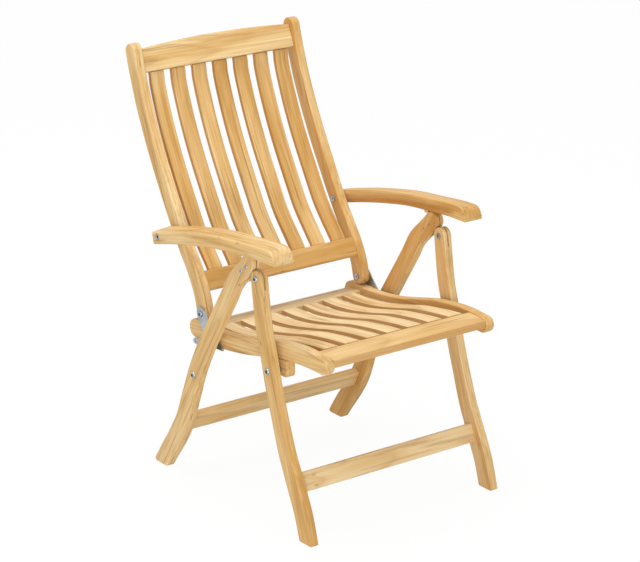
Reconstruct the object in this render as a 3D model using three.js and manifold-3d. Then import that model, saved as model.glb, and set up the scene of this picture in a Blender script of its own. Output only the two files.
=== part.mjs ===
// Folding teak armchair with a slatted seat, a slatted reclining back and two resting arms.
// Millimetres, +Z up, the floor at zero, the front of the chair towards -Y, mirrored about X.

import * as THREE from 'three';
import { mergeVertices } from 'three/addons/utils/BufferGeometryUtils.js';
import Module from 'manifold-3d';

const wasm = await Module();
wasm.setup();

// Gaps and edge softening
const seatGap = 0.3;
const turnGap = 0.4;
const cutOverrun = 6;
const softEdge = 2.2;
const slatEdge = 1.6;

// Widths across the chair
const seatClearWidth = 440;
const boardThick = 24;
const legThick = 22.5;
const legSideGap = 11.75;
const plateThick = 3;
const armSideGap = 2.6;
const armWidth = 54;

// Front legs, from the folding pivot to the floor
const apexY = -119.3;
const apexZ = 586.4;
const frontFootY = -306;
const frontTopWidth = 39;
const frontMiddleWidth = 40;
const frontLowWidth = 45.5;
const frontFootWidth = 43;
const frontLegShares = [
  [0, 0], [0.085, 0.18], [0.18, 0.287], [0.275, 0.403], [0.387, 0.514],
  [0.545, 0.656], [0.663, 0.737], [0.789, 0.819], [0.901, 0.898], [1, 1],
];

// Rear legs, from the floor to the rounded end under the arm
const rearFootY = 291;
const rearFootWidth = 46;
const rearLowWidth = 51;
const rearMiddleWidth = 45;
const rearTopWidth = 43;
const apexGap = 1.8;
const apexAngle = THREE.MathUtils.degToRad(44);
const rearLegShares = [
  [0, 0], [0.083, 0.073], [0.169, 0.144], [0.258, 0.232], [0.332, 0.347],
  [0.419, 0.475], [0.516, 0.587], [0.643, 0.71], [0.771, 0.833], [0.818, 0.884],
  [0.868, 0.921], [0.932, 0.957], [1, 1],
];

// Stretchers between the legs
const stretcherHeight = 45;
const stretcherThick = 21;
const stretcherZ = 128;
const frontStretcherLean = THREE.MathUtils.degToRad(20.9);
const rearStretcherLean = THREE.MathUtils.degToRad(-27);
const frontStretcherSetback = 6;
const rearStretcherSetback = 5;

// Metal plates and bolts
const slotGap = 0.5;
const plateRound = 13;
const plateTail = 10;
const screwAlong = 42;
const screwStep = 15.3;
const screwTurn = THREE.MathUtils.degToRad(27);
const screwTurnStep = THREE.MathUtils.degToRad(-23);
const foldTurn = THREE.MathUtils.degToRad(-46);
const boltRadius = 4;
const boltHeadRadius = 8;
const boltHeadThick = 3.5;
const boltCrownShare = 0.86;
const nutRadius = 7;
const nutThick = 3;
const hexRadius = 3;
const hexDepth = 2;
const screwRadius = 2.2;
const screwHeadRadius = 5;
const screwHeadThick = 1.6;
const screwCrownShare = 0.8;

// Seat frame
const seatRearY = 180;
const seatRearZ = 375;
const seatLength = 502;
const seatRise = 53;
const railRearWidth = 46;
const railWidth = 42;
const railNarrowWidth = 40;
const railFrontWidth = 38.5;
const seatRailShares = [
  [0, 0], [0.179, -0.01], [0.3586, 0.189], [0.518, 0.519],
  [0.657, 0.83], [0.807, 1], [0.906, 1.035], [1, 1],
];
const seatPivotZ = 377;
const pivotBlockLength = 56;
const pivotBlockDrop = 16;
const pivotBlockRound = 8;

// Seat boards and slats
const frontRailDepth = 62;
const frontRailThick = 19;
const frontRailDrop = 2.5;
const frontRailNose = 4;
const rearRailDepth = 56;
const rearRailThick = 20;
const rearRailDrop = 1.5;
const rearRailY = 192;
const seatSlatCount = 7;
const seatSlatWidth = 38.5;
const seatSlatSideGap = 19.25;
const seatSlatThick = 12;
const seatSlatLift = 6;
const seatSlatFrontLift = 12;

// Back frame, from the back pivot upwards
const backPivotY = 150.5;
const backPivotLift = 45;
const backRun = 287.5;
const backRise = 578;
const stileWidth = 40;
const stileLowWidth = 37;
const stileShares = [
  [0, 0], [0.033, 0.061], [0.089, 0.121], [0.163, 0.18], [0.27, 0.253], [0.398, 0.354],
  [0.527, 0.464], [0.652, 0.574], [0.763, 0.683], [0.87, 0.803], [0.951, 0.917], [1, 1],
];
const topRailHeight = 57.5;
const topRailArch = 9.5;
const topRailThick = 22;
const topRailShare = 0.96;
const topRailLean = THREE.MathUtils.degToRad(22.5);
const bottomRailHeight = 48;
const bottomRailThick = 22;
const bottomRailShare = 0.112;
const bottomRailLean = THREE.MathUtils.degToRad(30);
const bottomRailForward = 6;
const backSlatCount = 7;
const backSlatWidth = 38.3;
const backSlatSideGap = 17.85;
const backSlatThick = 12;
const backSlatBow = 6;

// Brackets that carry the back on the seat rails
const bracketWidth = 126;
const bracketHeight = 100;
const bracketShares = [
  [0, 0.18], [0.032, 0.24], [0.325, 0.55], [0.492, 0.76], [0.619, 0.945], [0.698, 1],
  [0.778, 0.99], [0.837, 0.925], [0.865, 0.83], [0.841, 0.72], [0.722, 0.52], [0.667, 0.36],
  [0.675, 0.2], [0.73, 0.15], [0.937, 0.15], [1, 0.08], [0.968, 0.01], [0.873, 0],
  [0.651, 0.06], [0.492, 0.12], [0.032, 0.14],
];
const bracketBehindPivot = 33.5;
const bracketAbovePivot = 18.7;
const bracketScrewShares = [[0.214, 0.33], [0.587, 0.34]];
const bracketHoleShare = [0.905, 0.075];
const bracketHoleRadius = 3.2;

// Arms, from the bolt in the back to the nose
const armPivotHeight = 177;
const armThick = 30;
const armTopTilt = 5;
const armRestGap = 0.9;
const armPivotDrop = 23;
const armBow = 18.1;
const armUnderShares = [
  [-0.052, 0.186], [0.241, 0.498], [0.497, 0.575], [0.738, 0.47],
  [1, 0], [1.223, -0.418], [1.398, -1],
];
const armNoseShares = [[-0.01, 0.13], [0.2, 0.67], [0.5, 0.95]];
const armTopEndShare = 0.95;
const undercutDepth = 7;
const undercutStart = 5;
const undercutSlope = 13;
const undercutEndShare = 0.9;
const undercutFadeShare = 0.45;
const undercutLeadShare = 0.02;
const catchLength = 11;
const catchDrop = 9;
const catchGap = 1.5;
const catchTopGap = 0.36;
const catchInset = 3;

// Folding links between the rear legs and the seat rails
const linkHeight = 276;
const linkPinY = 120;
const linkWidth = 18;
const linkSideGap = 3.6;
const rivetRadius = 4;
const rivetHeadThick = 1;

// Steps of curved outlines
const legSteps = 22;
const railSteps = 18;
const stileSteps = 20;
const slatSteps = 9;
const armSteps = 14;
const capSteps = 6;
const archSteps = 10;
const roundSides = 16;

// Materials of the wood pieces and of the metal fittings
const woodTone = { light: 0xe2bb86, warm: 0xd9ab6e, deep: 0xcf9c5c };

function wood(color) {
  return new THREE.MeshStandardMaterial({ color, roughness: 0.62, metalness: 0 });
}

function metal() {
  return new THREE.MeshStandardMaterial({ color: 0xaeb4bb, roughness: 0.34, metalness: 0.9 });
}

// Places across the chair that the sizes give
const railInner = seatClearWidth / 2;
const railOuter = railInner + boardThick;
const legInner = railOuter + legSideGap;
const legOuter = legInner + legThick;
const armInner = railOuter + armSideGap;
const armOuter = armInner + armWidth;
const bracketInner = railOuter + seatGap;
const linkInner = bracketInner + plateThick + linkSideGap;
const slotWidth = plateThick + 2 * slotGap;
const slotMiddle = legInner + legThick / 2;

// Points and directions in the side view
function at(y, z) {
  return new THREE.Vector2(y, z);
}

function stretched(shares, from, run, rise) {
  return shares.map(([along, up]) => at(from.x + along * run, from.y + up * rise));
}

function leftOf(direction) {
  return at(-direction.y, direction.x);
}

function moved(point, direction, distance) {
  return point.clone().addScaledVector(direction, distance);
}

function pointWhere(curve, reached) {
  let low = 0;
  let high = 1;
  for (let turn = 0; turn < 40; turn += 1) {
    const middle = (low + high) / 2;
    if (reached(curve.getPoint(middle))) high = middle;
    else low = middle;
  }
  return curve.getPoint(low);
}

// A width that changes evenly between equally spaced stations
function widthAt(widths, share) {
  const place = share * (widths.length - 1);
  const station = Math.min(Math.floor(place), widths.length - 2);
  return THREE.MathUtils.lerp(widths[station], widths[station + 1], place - station);
}

// The outline of a curved board of changing width, with round or square ends
function ribbon(curve, widths, steps, roundStart, roundEnd) {
  const left = [];
  const right = [];
  for (let step = 0; step <= steps; step += 1) {
    const share = step / steps;
    const side = leftOf(curve.getTangentAt(share));
    const half = widthAt(widths, share) / 2;
    left.push(moved(curve.getPointAt(share), side, half));
    right.push(moved(curve.getPointAt(share), side, -half));
  }
  const endCap = roundEnd ? cap(curve, 1, widthAt(widths, 1) / 2) : [];
  const startCap = roundStart ? cap(curve, 0, widthAt(widths, 0) / 2) : [];
  return [...right, ...endCap, ...left.reverse(), ...startCap];
}

// The inner points of a half circle round one end of a curved board
function cap(curve, share, radius) {
  const middle = curve.getPointAt(share);
  const forward = curve.getTangentAt(share).multiplyScalar(share > 0 ? 1 : -1);
  const side = leftOf(forward);
  const points = [];
  for (let step = 1; step < capSteps; step += 1) {
    const turn = Math.PI * (step / capSteps - 1 / 2);
    const out = moved(middle, forward, radius * Math.cos(turn));
    points.push(moved(out, side, radius * Math.sin(turn)));
  }
  return points;
}

// A circle of points in the side view
function circle(middle, radius, sides) {
  const points = [];
  for (let side = 0; side < sides; side += 1) {
    const turn = 2 * Math.PI * (side / sides);
    points.push(at(middle.x + radius * Math.cos(turn), middle.y + radius * Math.sin(turn)));
  }
  return points;
}

// A hole's points, wide enough that its flats clear a round pin
function holeOutline(middle, pinRadius, gap) {
  return circle(middle, (pinRadius + gap) / Math.cos(Math.PI / roundSides), roundSides);
}

// A flat piece cut to a side outline, from one place across the chair to another
function slab(outline, fromX, toX, edge, holes = []) {
  const shape = new THREE.Shape(outline);
  shape.holes = holes.map((points) => new THREE.Path(points));
  const geometry = new THREE.ExtrudeGeometry(shape, {
    depth: toX - fromX - 2 * edge,
    bevelEnabled: edge > 0,
    bevelThickness: edge,
    bevelSize: edge,
    bevelOffset: -edge,
    bevelSegments: 1,
    steps: 1,
  });
  geometry.translate(0, 0, fromX + edge);
  return sideways(geometry);
}

// Turns a shape drawn as depth and height, and pushed out along Z, into the chair's frame
function sideways(geometry) {
  const across = new THREE.Vector3(1, 0, 0);
  const back = new THREE.Vector3(0, 1, 0);
  const up = new THREE.Vector3(0, 0, 1);
  return geometry.applyMatrix4(new THREE.Matrix4().makeBasis(back, up, across));
}

// A geometry as a solid that can be joined and cut
function solid(geometry) {
  const bare = geometry.clone();
  bare.deleteAttribute('normal');
  bare.deleteAttribute('uv');
  const merged = mergeVertices(bare, seatGap / 1000);
  return new wasm.Manifold(new wasm.Mesh({
    numProp: 3,
    vertProperties: Float32Array.from(merged.attributes.position.array),
    triVerts: Uint32Array.from(merged.index.array),
  }));
}

function skin(body) {
  const mesh = body.getMesh();
  const geometry = new THREE.BufferGeometry();
  geometry.setAttribute('position', new THREE.BufferAttribute(mesh.vertProperties, 3));
  geometry.setIndex(new THREE.BufferAttribute(mesh.triVerts, 1));
  geometry.computeVertexNormals();
  return geometry;
}

function cut(geometry, cutters) {
  return skin(cutters.reduce((body, cutter) => body.subtract(solid(cutter)), solid(geometry)));
}

// The other hand of a piece
function mirrored(geometry) {
  const other = geometry.index ? geometry.toNonIndexed() : geometry.clone();
  const place = other.attributes.position;
  for (let corner = 0; corner < place.count; corner += 3) {
    const first = new THREE.Vector3().fromBufferAttribute(place, corner);
    const last = new THREE.Vector3().fromBufferAttribute(place, corner + 2);
    place.setXYZ(corner, -last.x, last.y, last.z);
    place.setXYZ(corner + 2, -first.x, first.y, first.z);
    place.setX(corner + 1, -place.getX(corner + 1));
  }
  other.deleteAttribute('normal');
  other.deleteAttribute('uv');
  return mergeVertices(other, seatGap / 1000);
}

// Named meshes, and left and right pairs of them
function piece(group, name, geometry, material) {
  const mesh = new THREE.Mesh(geometry, material);
  mesh.name = name;
  group.add(mesh);
}

function pair(group, name, geometry, material) {
  piece(group, `${name}_right`, geometry, material);
  piece(group, `${name}_left`, mirrored(geometry), material.clone());
}

function fasteners(group, name, geometries) {
  geometries.forEach((geometry, index) => {
    const numbered = geometries.length > 1 ? `${name}_${index + 1}` : name;
    pair(group, numbered, geometry, metal());
  });
}

// A turned piece whose axis lies across the chair
function turned(profile, middle) {
  const points = profile.map(([radius, x]) => at(radius, x));
  const geometry = new THREE.LatheGeometry(points, roundSides);
  geometry.rotateZ(-Math.PI / 2);
  geometry.translate(0, middle.x, middle.y);
  return geometry;
}

// A bolt with a hex socket in its outer head and a round nut inside
function bolt(middle, innerX, outerX, headRadius = boltHeadRadius) {
  const nutEnd = innerX - nutThick;
  const headEnd = outerX + boltHeadThick;
  const body = turned([
    [0, nutEnd], [nutRadius, nutEnd], [nutRadius, innerX], [boltRadius, innerX],
    [boltRadius, outerX], [headRadius, outerX], [headRadius, headEnd - boltHeadThick / 3],
    [headRadius * boltCrownShare, headEnd], [0, headEnd],
  ], middle);
  const socket = slab(circle(middle, hexRadius, 6), headEnd - hexDepth, headEnd + cutOverrun, 0);
  return cut(body, [socket]);
}

// A screw with a shallow round head outside
function screw(middle, innerX, outerX) {
  return turned([
    [0, innerX], [screwRadius, innerX], [screwRadius, outerX], [screwHeadRadius, outerX],
    [screwHeadRadius * screwCrownShare, outerX + screwHeadThick], [0, outerX + screwHeadThick],
  ], middle);
}

// Centre lines and pivots that several pieces share
const apex = at(apexY, apexZ);
const frontLegLine = new THREE.SplineCurve(
  stretched(frontLegShares, apex, frontFootY - apexY, -apexZ),
);
const rearEndReach = frontTopWidth / 2 + rearTopWidth / 2 + apexGap;
const rearLegEnd = moved(apex, at(Math.cos(apexAngle), Math.sin(apexAngle)), rearEndReach);
const rearFoot = at(rearFootY, 0);
const rearLegLine = new THREE.SplineCurve(
  stretched(rearLegShares, rearFoot, rearLegEnd.x - rearFootY, rearLegEnd.y),
);
const seatRear = at(seatRearY, seatRearZ);
const railLine = new THREE.SplineCurve(stretched(seatRailShares, seatRear, -seatLength, seatRise));
const seatPivot = pointWhere(frontLegLine, (point) => point.y < seatPivotZ);
const linkPivot = pointWhere(rearLegLine, (point) => point.y > linkHeight);
const linkPin = pointWhere(railLine, (point) => point.x < linkPinY);
const railUnderPivot = pointWhere(railLine, (point) => point.x < backPivotY);
const backPivot = at(backPivotY, railUnderPivot.y + backPivotLift);
const stileLine = new THREE.SplineCurve(stretched(stileShares, backPivot, backRun, backRise));
const armPivot = pointWhere(stileLine, (point) => point.y > backPivot.y + armPivotHeight);
const screwPlaces = [
  moved(apex, at(Math.cos(screwTurn), Math.sin(screwTurn)), screwAlong),
  moved(
    apex,
    at(Math.cos(screwTurn + screwTurnStep), Math.sin(screwTurn + screwTurnStep)),
    screwAlong + screwStep,
  ),
];

// The part of a leg below the floor, which its flat foot loses
function floorCutter(footY) {
  const reach = rearFootWidth * 2;
  return slab(
    [at(footY - reach, -reach), at(footY + reach, -reach), at(footY + reach, 0), at(footY - reach, 0)],
    legInner - cutOverrun,
    legOuter + cutOverrun,
    0,
  );
}

// A centre line that runs on past its end, so that a cut can square it off
function lengthened(shares, from, run, rise, extra) {
  const points = stretched(shares, from, run, rise);
  const last = points[points.length - 1];
  const before = points[points.length - 2];
  points.push(moved(last, last.clone().sub(before).normalize(), extra));
  return new THREE.SplineCurve(points);
}

function pinHole(middle, radius, gap) {
  return slab(holeOutline(middle, radius, gap), legInner - cutOverrun, legOuter + cutOverrun, 0);
}

// The saw slot that takes the apex plate: everything on the upper side of a line
function slotCutter(corner, along, length, depth) {
  const side = leftOf(along);
  const outline = [
    corner,
    moved(corner, along, length),
    moved(moved(corner, along, length), side, depth),
    moved(corner, side, depth),
  ];
  return slab(outline, slotMiddle - slotWidth / 2, slotMiddle + slotWidth / 2, 0);
}

function frontLeg() {
  const line = lengthened(frontLegShares, apex, frontFootY - apexY, -apexZ, frontFootWidth);
  const widths = [frontTopWidth, frontMiddleWidth, frontMiddleWidth, frontLowWidth, frontFootWidth];
  const leg = slab(ribbon(line, widths, legSteps, true, false), legInner, legOuter, softEdge);
  const slotFloor = at(apex.x + frontTopWidth, apex.y - plateRound - plateTail);
  const folded = screwTurn + screwTurnStep + foldTurn;
  const along = at(Math.cos(folded), Math.sin(folded));
  const foldedFloor = moved(
    moved(apex, along, -plateTail), leftOf(along), -plateRound - slotGap,
  );
  return cut(leg, [
    floorCutter(frontFootY),
    slotCutter(slotFloor, at(0, 1), frontTopWidth * 2, frontTopWidth * 2),
    slotCutter(foldedFloor, along, frontTopWidth * 2, frontTopWidth),
    pinHole(apex, boltRadius, turnGap),
    pinHole(seatPivot, boltRadius, turnGap),
  ]);
}

function rearLegOutline() {
  const points = stretched(rearLegShares, rearFoot, rearLegEnd.x - rearFootY, rearLegEnd.y);
  const down = points[0].clone().sub(points[1]).normalize();
  points.unshift(moved(points[0], down, rearFootWidth));
  const widths = [rearFootWidth, rearLowWidth, rearMiddleWidth, rearTopWidth, rearTopWidth];
  return ribbon(new THREE.SplineCurve(points), widths, legSteps, false, true);
}

function rearLeg() {
  const leg = slab(rearLegOutline(), legInner, legOuter, softEdge);
  const along = rearLegEnd.clone().sub(screwPlaces[1]).normalize();
  const behind = moved(screwPlaces[1], leftOf(along), -plateTail - slotGap);
  const corner = moved(behind, along, -plateTail - slotGap * 2);
  return cut(leg, [
    floorCutter(rearFootY),
    slotCutter(corner, along, rearTopWidth * 3, rearTopWidth * 2),
    pinHole(linkPivot, boltRadius, turnGap),
    ...screwPlaces.map((place) => pinHole(place, screwRadius, turnGap)),
  ]);
}

// A plate whose outline is the hull round three discs
function apexPlate() {
  const discs = [
    ...circle(apex, plateRound, roundSides),
    ...circle(screwPlaces[0], plateTail, roundSides),
    ...circle(screwPlaces[1], plateTail, roundSides),
  ];
  const holes = [
    holeOutline(apex, boltRadius, turnGap),
    ...screwPlaces.map((place) => holeOutline(place, screwRadius, turnGap)),
  ];
  return slab(hull(discs), slotMiddle - plateThick / 2, slotMiddle + plateThick / 2, 0, holes);
}

// The convex outline round a set of points
function hull(points) {
  const sorted = [...points].sort((one, other) => one.x - other.x || one.y - other.y);
  const turnOf = (a, b, c) => (b.x - a.x) * (c.y - a.y) - (b.y - a.y) * (c.x - a.x);
  const half = (list) => {
    const chain = [];
    for (const point of list) {
      while (chain.length > 1 && turnOf(chain.at(-2), chain.at(-1), point) <= 0) chain.pop();
      chain.push(point);
    }
    return chain.slice(0, -1);
  };
  return [...half(sorted), ...half(sorted.reverse())];
}

// A board between the legs, leaning like the legs beside it
function stretcher(legLine, lean, setback) {
  const middle = pointWhere(legLine, (point) => (legLine === frontLegLine
    ? point.y < stretcherZ : point.y > stretcherZ));
  const up = at(Math.sin(lean), Math.cos(lean));
  const back = at(Math.cos(lean), -Math.sin(lean));
  const centre = moved(middle, back, setback);
  return slab(tiltedBox(centre, up, back, stretcherHeight, stretcherThick),
    -legInner + seatGap, legInner - seatGap, 0);
}

// A rectangle with softened corners, turned in the side view
function tiltedBox(centre, up, back, height, thick, soft = slatEdge) {
  const corner = (v, w) => moved(moved(centre, up, v), back, w);
  const high = height / 2;
  const deep = thick / 2;
  return [
    corner(-high, deep - soft), corner(-high + soft, deep), corner(high - soft, deep),
    corner(high, deep - soft), corner(high, soft - deep), corner(high - soft, -deep),
    corner(soft - high, -deep), corner(-high, soft - deep),
  ];
}

// Seat frame
const railWidths = [
  railRearWidth, railWidth, railNarrowWidth, railWidth, railWidth, railWidth, railFrontWidth,
];

function seatRail() {
  return slab(ribbon(railLine, railWidths, railSteps, true, true), railInner, railOuter, softEdge);
}

function railUnderside(y) {
  const side = new THREE.SplineCurve(underRail());
  return pointWhere(side, (point) => point.x < y);
}

function underRail() {
  const points = [];
  for (let step = 0; step <= railSteps; step += 1) {
    const share = step / railSteps;
    const side = leftOf(railLine.getTangentAt(share));
    points.push(moved(railLine.getPointAt(share), side, widthAt(railWidths, share) / 2));
  }
  return points;
}

function pivotBlock() {
  const front = seatPivot.x - pivotBlockLength / 2;
  const back = seatPivot.x + pivotBlockLength / 2;
  const bottom = seatPivot.y - pivotBlockDrop;
  const outline = [
    at(front + pivotBlockRound, bottom), at(back - pivotBlockRound, bottom),
    at(back, bottom + pivotBlockRound), at(back, railUnderside(back).y - 2 * seatGap),
    at(seatPivot.x, railUnderside(seatPivot.x).y - 2 * seatGap),
    at(front, railUnderside(front).y - 2 * seatGap), at(front, bottom + pivotBlockRound),
  ];
  const hole = holeOutline(seatPivot, boltRadius, turnGap);
  return cut(slab(outline, railInner, railOuter, 0),
    [slab(hole, railInner - cutOverrun, railOuter + cutOverrun, 0)]);
}

function pivotSpacer() {
  const outer = circle(seatPivot, boltHeadRadius, roundSides);
  const hole = holeOutline(seatPivot, boltRadius, turnGap);
  return slab(outer, railOuter + seatGap, legInner - seatGap, 0, [hole]);
}

// The front board of the seat, with a round nose just behind the rails' noses
const frontRailNoseY = seatRearY - seatLength - railFrontWidth / 2 + frontRailNose;
const frontRailRearY = frontRailNoseY + frontRailDepth;

function railCentreZ(y) {
  return pointWhere(railLine, (point) => point.x < y).y;
}

function frontRail() {
  const lift = railFrontWidth / 2 - frontRailThick / 2 - frontRailDrop;
  const tipY = frontRailNoseY + frontRailThick / 2;
  const spine = new THREE.SplineCurve([
    at(frontRailRearY, railCentreZ(frontRailRearY) + lift),
    at((frontRailRearY + tipY) / 2, railCentreZ((frontRailRearY + tipY) / 2) + lift),
    at(tipY, railCentreZ(tipY) + lift - frontRailDrop),
  ]);
  const outline = ribbon(spine, [frontRailThick, frontRailThick], 4, false, true);
  return slab(outline, -railInner + seatGap, railInner - seatGap, 0);
}

const rearRailFrontY = rearRailY - rearRailDepth;

function rearRail() {
  const tipY = rearRailY - rearRailThick / 2;
  const spine = new THREE.SplineCurve([
    at(tipY, railCentreZ(rearRailFrontY) - rearRailDrop),
    at(rearRailFrontY, railCentreZ(rearRailFrontY) + rearRailDrop),
  ]);
  const outline = ribbon(spine, [rearRailThick, rearRailThick], 2, true, false);
  return slab(outline, -railInner + seatGap, railInner - seatGap, 0);
}

// A seat slat that follows the rails, held between the front and rear boards
function seatSlat(x) {
  const rear = rearRailFrontY - seatGap;
  const front = frontRailRearY + seatGap;
  const points = [];
  for (let step = 0; step <= slatSteps; step += 1) {
    const share = step / slatSteps;
    const y = THREE.MathUtils.lerp(rear, front, share);
    const rise = Math.max(0, share * 3 - 2);
    const lift = THREE.MathUtils.lerp(seatSlatLift, seatSlatFrontLift, rise * rise);
    points.push(at(y, railCentreZ(y) + lift));
  }
  const spine = new THREE.SplineCurve(points);
  const thick = seatSlatThick / 2;
  const upper = points.map((point) => at(point.x, spineSide(spine, point, thick)));
  const lower = points.map((point) => at(point.x, spineSide(spine, point, -thick)));
  return slab([...upper, ...lower.reverse()], x - seatSlatWidth / 2, x + seatSlatWidth / 2, slatEdge);
}

// The height of a slat's face above a point of its centre line
function spineSide(spine, point, thick) {
  const step = seatSlatWidth / 4;
  const before = pointWhere(spine, (other) => other.x < point.x + step);
  const after = pointWhere(spine, (other) => other.x < point.x - step);
  const slope = (after.y - before.y) / (after.x - before.x || step);
  return point.y + thick * Math.hypot(1, slope);
}

// Brackets on the outer faces of the seat rails
const bracketCorner = at(
  backPivot.x + bracketBehindPivot - bracketWidth,
  backPivot.y + bracketAbovePivot - bracketHeight,
);

function bracketPlaces(shares) {
  return stretched(shares, bracketCorner, bracketWidth, bracketHeight);
}

function bracket() {
  const holes = [
    holeOutline(backPivot, boltRadius, turnGap),
    ...bracketPlaces(bracketScrewShares).map((place) => holeOutline(place, screwRadius, turnGap)),
    ...bracketPlaces([bracketHoleShare]).map((place) => circle(place, bracketHoleRadius, roundSides)),
  ];
  return slab(
    bracketPlaces(bracketShares), bracketInner, bracketInner + plateThick, 0, holes,
  );
}

// Back frame
const stileWidths = [stileWidth, stileLowWidth, stileWidth, stileWidth, stileWidth];

function stile() {
  const outline = ribbon(stileLine, stileWidths, stileSteps, true, true);
  const board = slab(outline, railInner, railOuter, softEdge);
  return cut(board, [backPivot, armPivot].map((place) => slab(
    holeOutline(place, boltRadius, turnGap), railInner - cutOverrun, railOuter + cutOverrun, 0,
  )));
}

function leaning(lean) {
  return {
    up: at(Math.sin(lean), Math.cos(lean)),
    back: at(Math.cos(lean), -Math.sin(lean)),
  };
}

const topRailFrame = leaning(topRailLean);
const topRailCentre = stileLine.getPointAt(topRailShare);
const bottomRailFrame = leaning(bottomRailLean);
const bottomRailCentre = moved(
  stileLine.getPointAt(bottomRailShare), bottomRailFrame.back, -bottomRailForward,
);

// The top board of the back, whose upper edge rises to the middle
function topRail() {
  const half = railInner - seatGap;
  const low = -topRailHeight / 2;
  const high = topRailHeight / 2;
  const points = [at(-half, low), at(half, low)];
  for (let step = 0; step <= archSteps; step += 1) {
    const share = 1 - 2 * (step / archSteps);
    points.push(at(half * share, high + topRailArch * (1 - share * share)));
  }
  const geometry = new THREE.ExtrudeGeometry(new THREE.Shape(points), {
    depth: topRailThick - 2 * slatEdge,
    bevelThickness: slatEdge,
    bevelSize: slatEdge,
    bevelOffset: -slatEdge,
    bevelSegments: 1,
    steps: 1,
  });
  geometry.translate(0, 0, slatEdge - topRailThick / 2);
  geometry.rotateX(Math.PI / 2);
  geometry.rotateX(-topRailLean);
  geometry.translate(0, topRailCentre.x, topRailCentre.y);
  return geometry;
}

function bottomRail() {
  const { up, back } = bottomRailFrame;
  const outline = tiltedBox(
    bottomRailCentre, up, back, bottomRailHeight, bottomRailThick, bottomRailThick / 5,
  );
  return slab(outline, -railInner + seatGap, railInner - seatGap, 0);
}

// A back slat between the bottom and top boards, bowed back in its middle
function backSlat(x) {
  const low = moved(bottomRailCentre, bottomRailFrame.up, bottomRailHeight / 2 + seatGap);
  const high = moved(topRailCentre, topRailFrame.up, -topRailHeight / 2 - seatGap);
  const points = [low, moved(low, bottomRailFrame.up, backSlatThick / 2)];
  for (let step = 2; step < slatSteps; step += 1) {
    const share = step / slatSteps;
    const stileShare = THREE.MathUtils.lerp(bottomRailShare, topRailShare, share);
    const tangent = stileLine.getTangentAt(stileShare);
    const bow = backSlatBow * Math.sin(Math.PI * share);
    points.push(moved(stileLine.getPointAt(stileShare), leftOf(tangent), -bow));
  }
  points.push(moved(high, topRailFrame.up, -backSlatThick / 2), high);
  const spine = new THREE.SplineCurve(points);
  const outline = ribbon(spine, [backSlatThick, backSlatThick], slatSteps + 3, false, false);
  return slab(outline, x - backSlatWidth / 2, x + backSlatWidth / 2, slatEdge);
}

// Arms
const restPoint = at(rearLegEnd.x, rearLegEnd.y + rearTopWidth / 2 + armRestGap);
const armRun = restPoint.x - armPivot.x;
const armRise = restPoint.y - armPivot.y + armPivotDrop;
const armUnderLine = new THREE.SplineCurve(armUnderShares.map(([along, bow]) => at(
  armPivot.x + along * armRun, armPivot.y - armPivotDrop + along * armRise + bow * armBow,
)));

function armOutline() {
  const under = [];
  const top = [];
  for (let step = 0; step <= armSteps; step += 1) {
    const share = step / armSteps;
    under.push(armUnderLine.getPointAt(share));
    const topShare = share * armTopEndShare;
    const up = leftOf(armUnderLine.getTangentAt(topShare)).multiplyScalar(-1);
    top.push(moved(armUnderLine.getPointAt(topShare), up, armThick));
  }
  const forward = armUnderLine.getTangentAt(1);
  const up = leftOf(forward).multiplyScalar(-1);
  const nose = armNoseShares.map(([back, high]) => moved(
    moved(armUnderLine.getPointAt(1), forward, -back * armThick), up, high * armThick,
  ));
  return [...top, ...nose.reverse(), ...under.reverse()];
}

// How far a place lies above the arm's underside, as a share of its thickness
function armHeightShare(y, z) {
  const under = pointWhere(armUnderLine, (point) => point.x < y);
  return THREE.MathUtils.clamp((z - under.y) / armThick, 0, 1);
}

// The arm's top leans up towards the inside
function tiltArmTop(geometry) {
  const place = geometry.attributes.position;
  for (let corner = 0; corner < place.count; corner += 1) {
    const inward = (armOuter - place.getX(corner)) / armWidth;
    const high = armHeightShare(place.getY(corner), place.getZ(corner));
    const lift = high > 1 / 2 ? armTopTilt * inward : 0;
    place.setZ(corner, place.getZ(corner) + lift);
  }
  return geometry;
}

// The long hollow under the arm's inner top edge, which runs out towards the nose
function undercut() {
  const points = [];
  const floor = [];
  for (let step = 0; step <= armSteps; step += 1) {
    const share = THREE.MathUtils.lerp(-undercutLeadShare, undercutEndShare, step / armSteps);
    const place = armUnderLine.getPoint(Math.max(share, 0));
    const tangent = armUnderLine.getTangent(Math.max(share, 0));
    const up = leftOf(tangent).multiplyScalar(-1);
    const run = share < 0 ? -armThick : 0;
    const base = moved(place, tangent, run);
    points.push(moved(base, up, armThick - undercutStart));
    floor.push(moved(base, up, -cutOverrun));
  }
  const outline = [...points, ...floor.reverse()];
  const geometry = slab(outline, armInner - cutOverrun, armInner + undercutDepth, 0);
  return shapeUndercut(geometry);
}

function shapeUndercut(geometry) {
  const place = geometry.attributes.position;
  const nose = armUnderLine.getPoint(undercutEndShare).x;
  const rear = armUnderLine.getPoint(0).x;
  for (let corner = 0; corner < place.count; corner += 1) {
    const y = place.getY(corner);
    const left = THREE.MathUtils.clamp((y - nose) / (rear - nose), 0, 1);
    const fade = Math.min(1, left / undercutFadeShare);
    const inward = place.getX(corner) > armInner ? 1 : 0;
    const high = armHeightShare(y, place.getZ(corner));
    const drop = high > 1 / 2 ? undercutSlope * inward * fade : 0;
    place.setZ(corner, place.getZ(corner) - drop);
    if (inward > 0) place.setX(corner, armInner - seatGap + (undercutDepth + seatGap) * fade);
  }
  return geometry;
}

function arm() {
  const body = tiltArmTop(slab(armOutline(), armInner, armOuter, softEdge));
  const hole = slab(
    holeOutline(armPivot, boltRadius, turnGap), armInner - cutOverrun, armOuter + cutOverrun, 0,
  );
  const sink = slab(
    circle(armPivot, boltHeadRadius + turnGap * 2, roundSides),
    armOuter - boltHeadThick - turnGap, armOuter + cutOverrun, 0,
  );
  return cut(body, [undercut(), hole, sink]);
}

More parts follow.
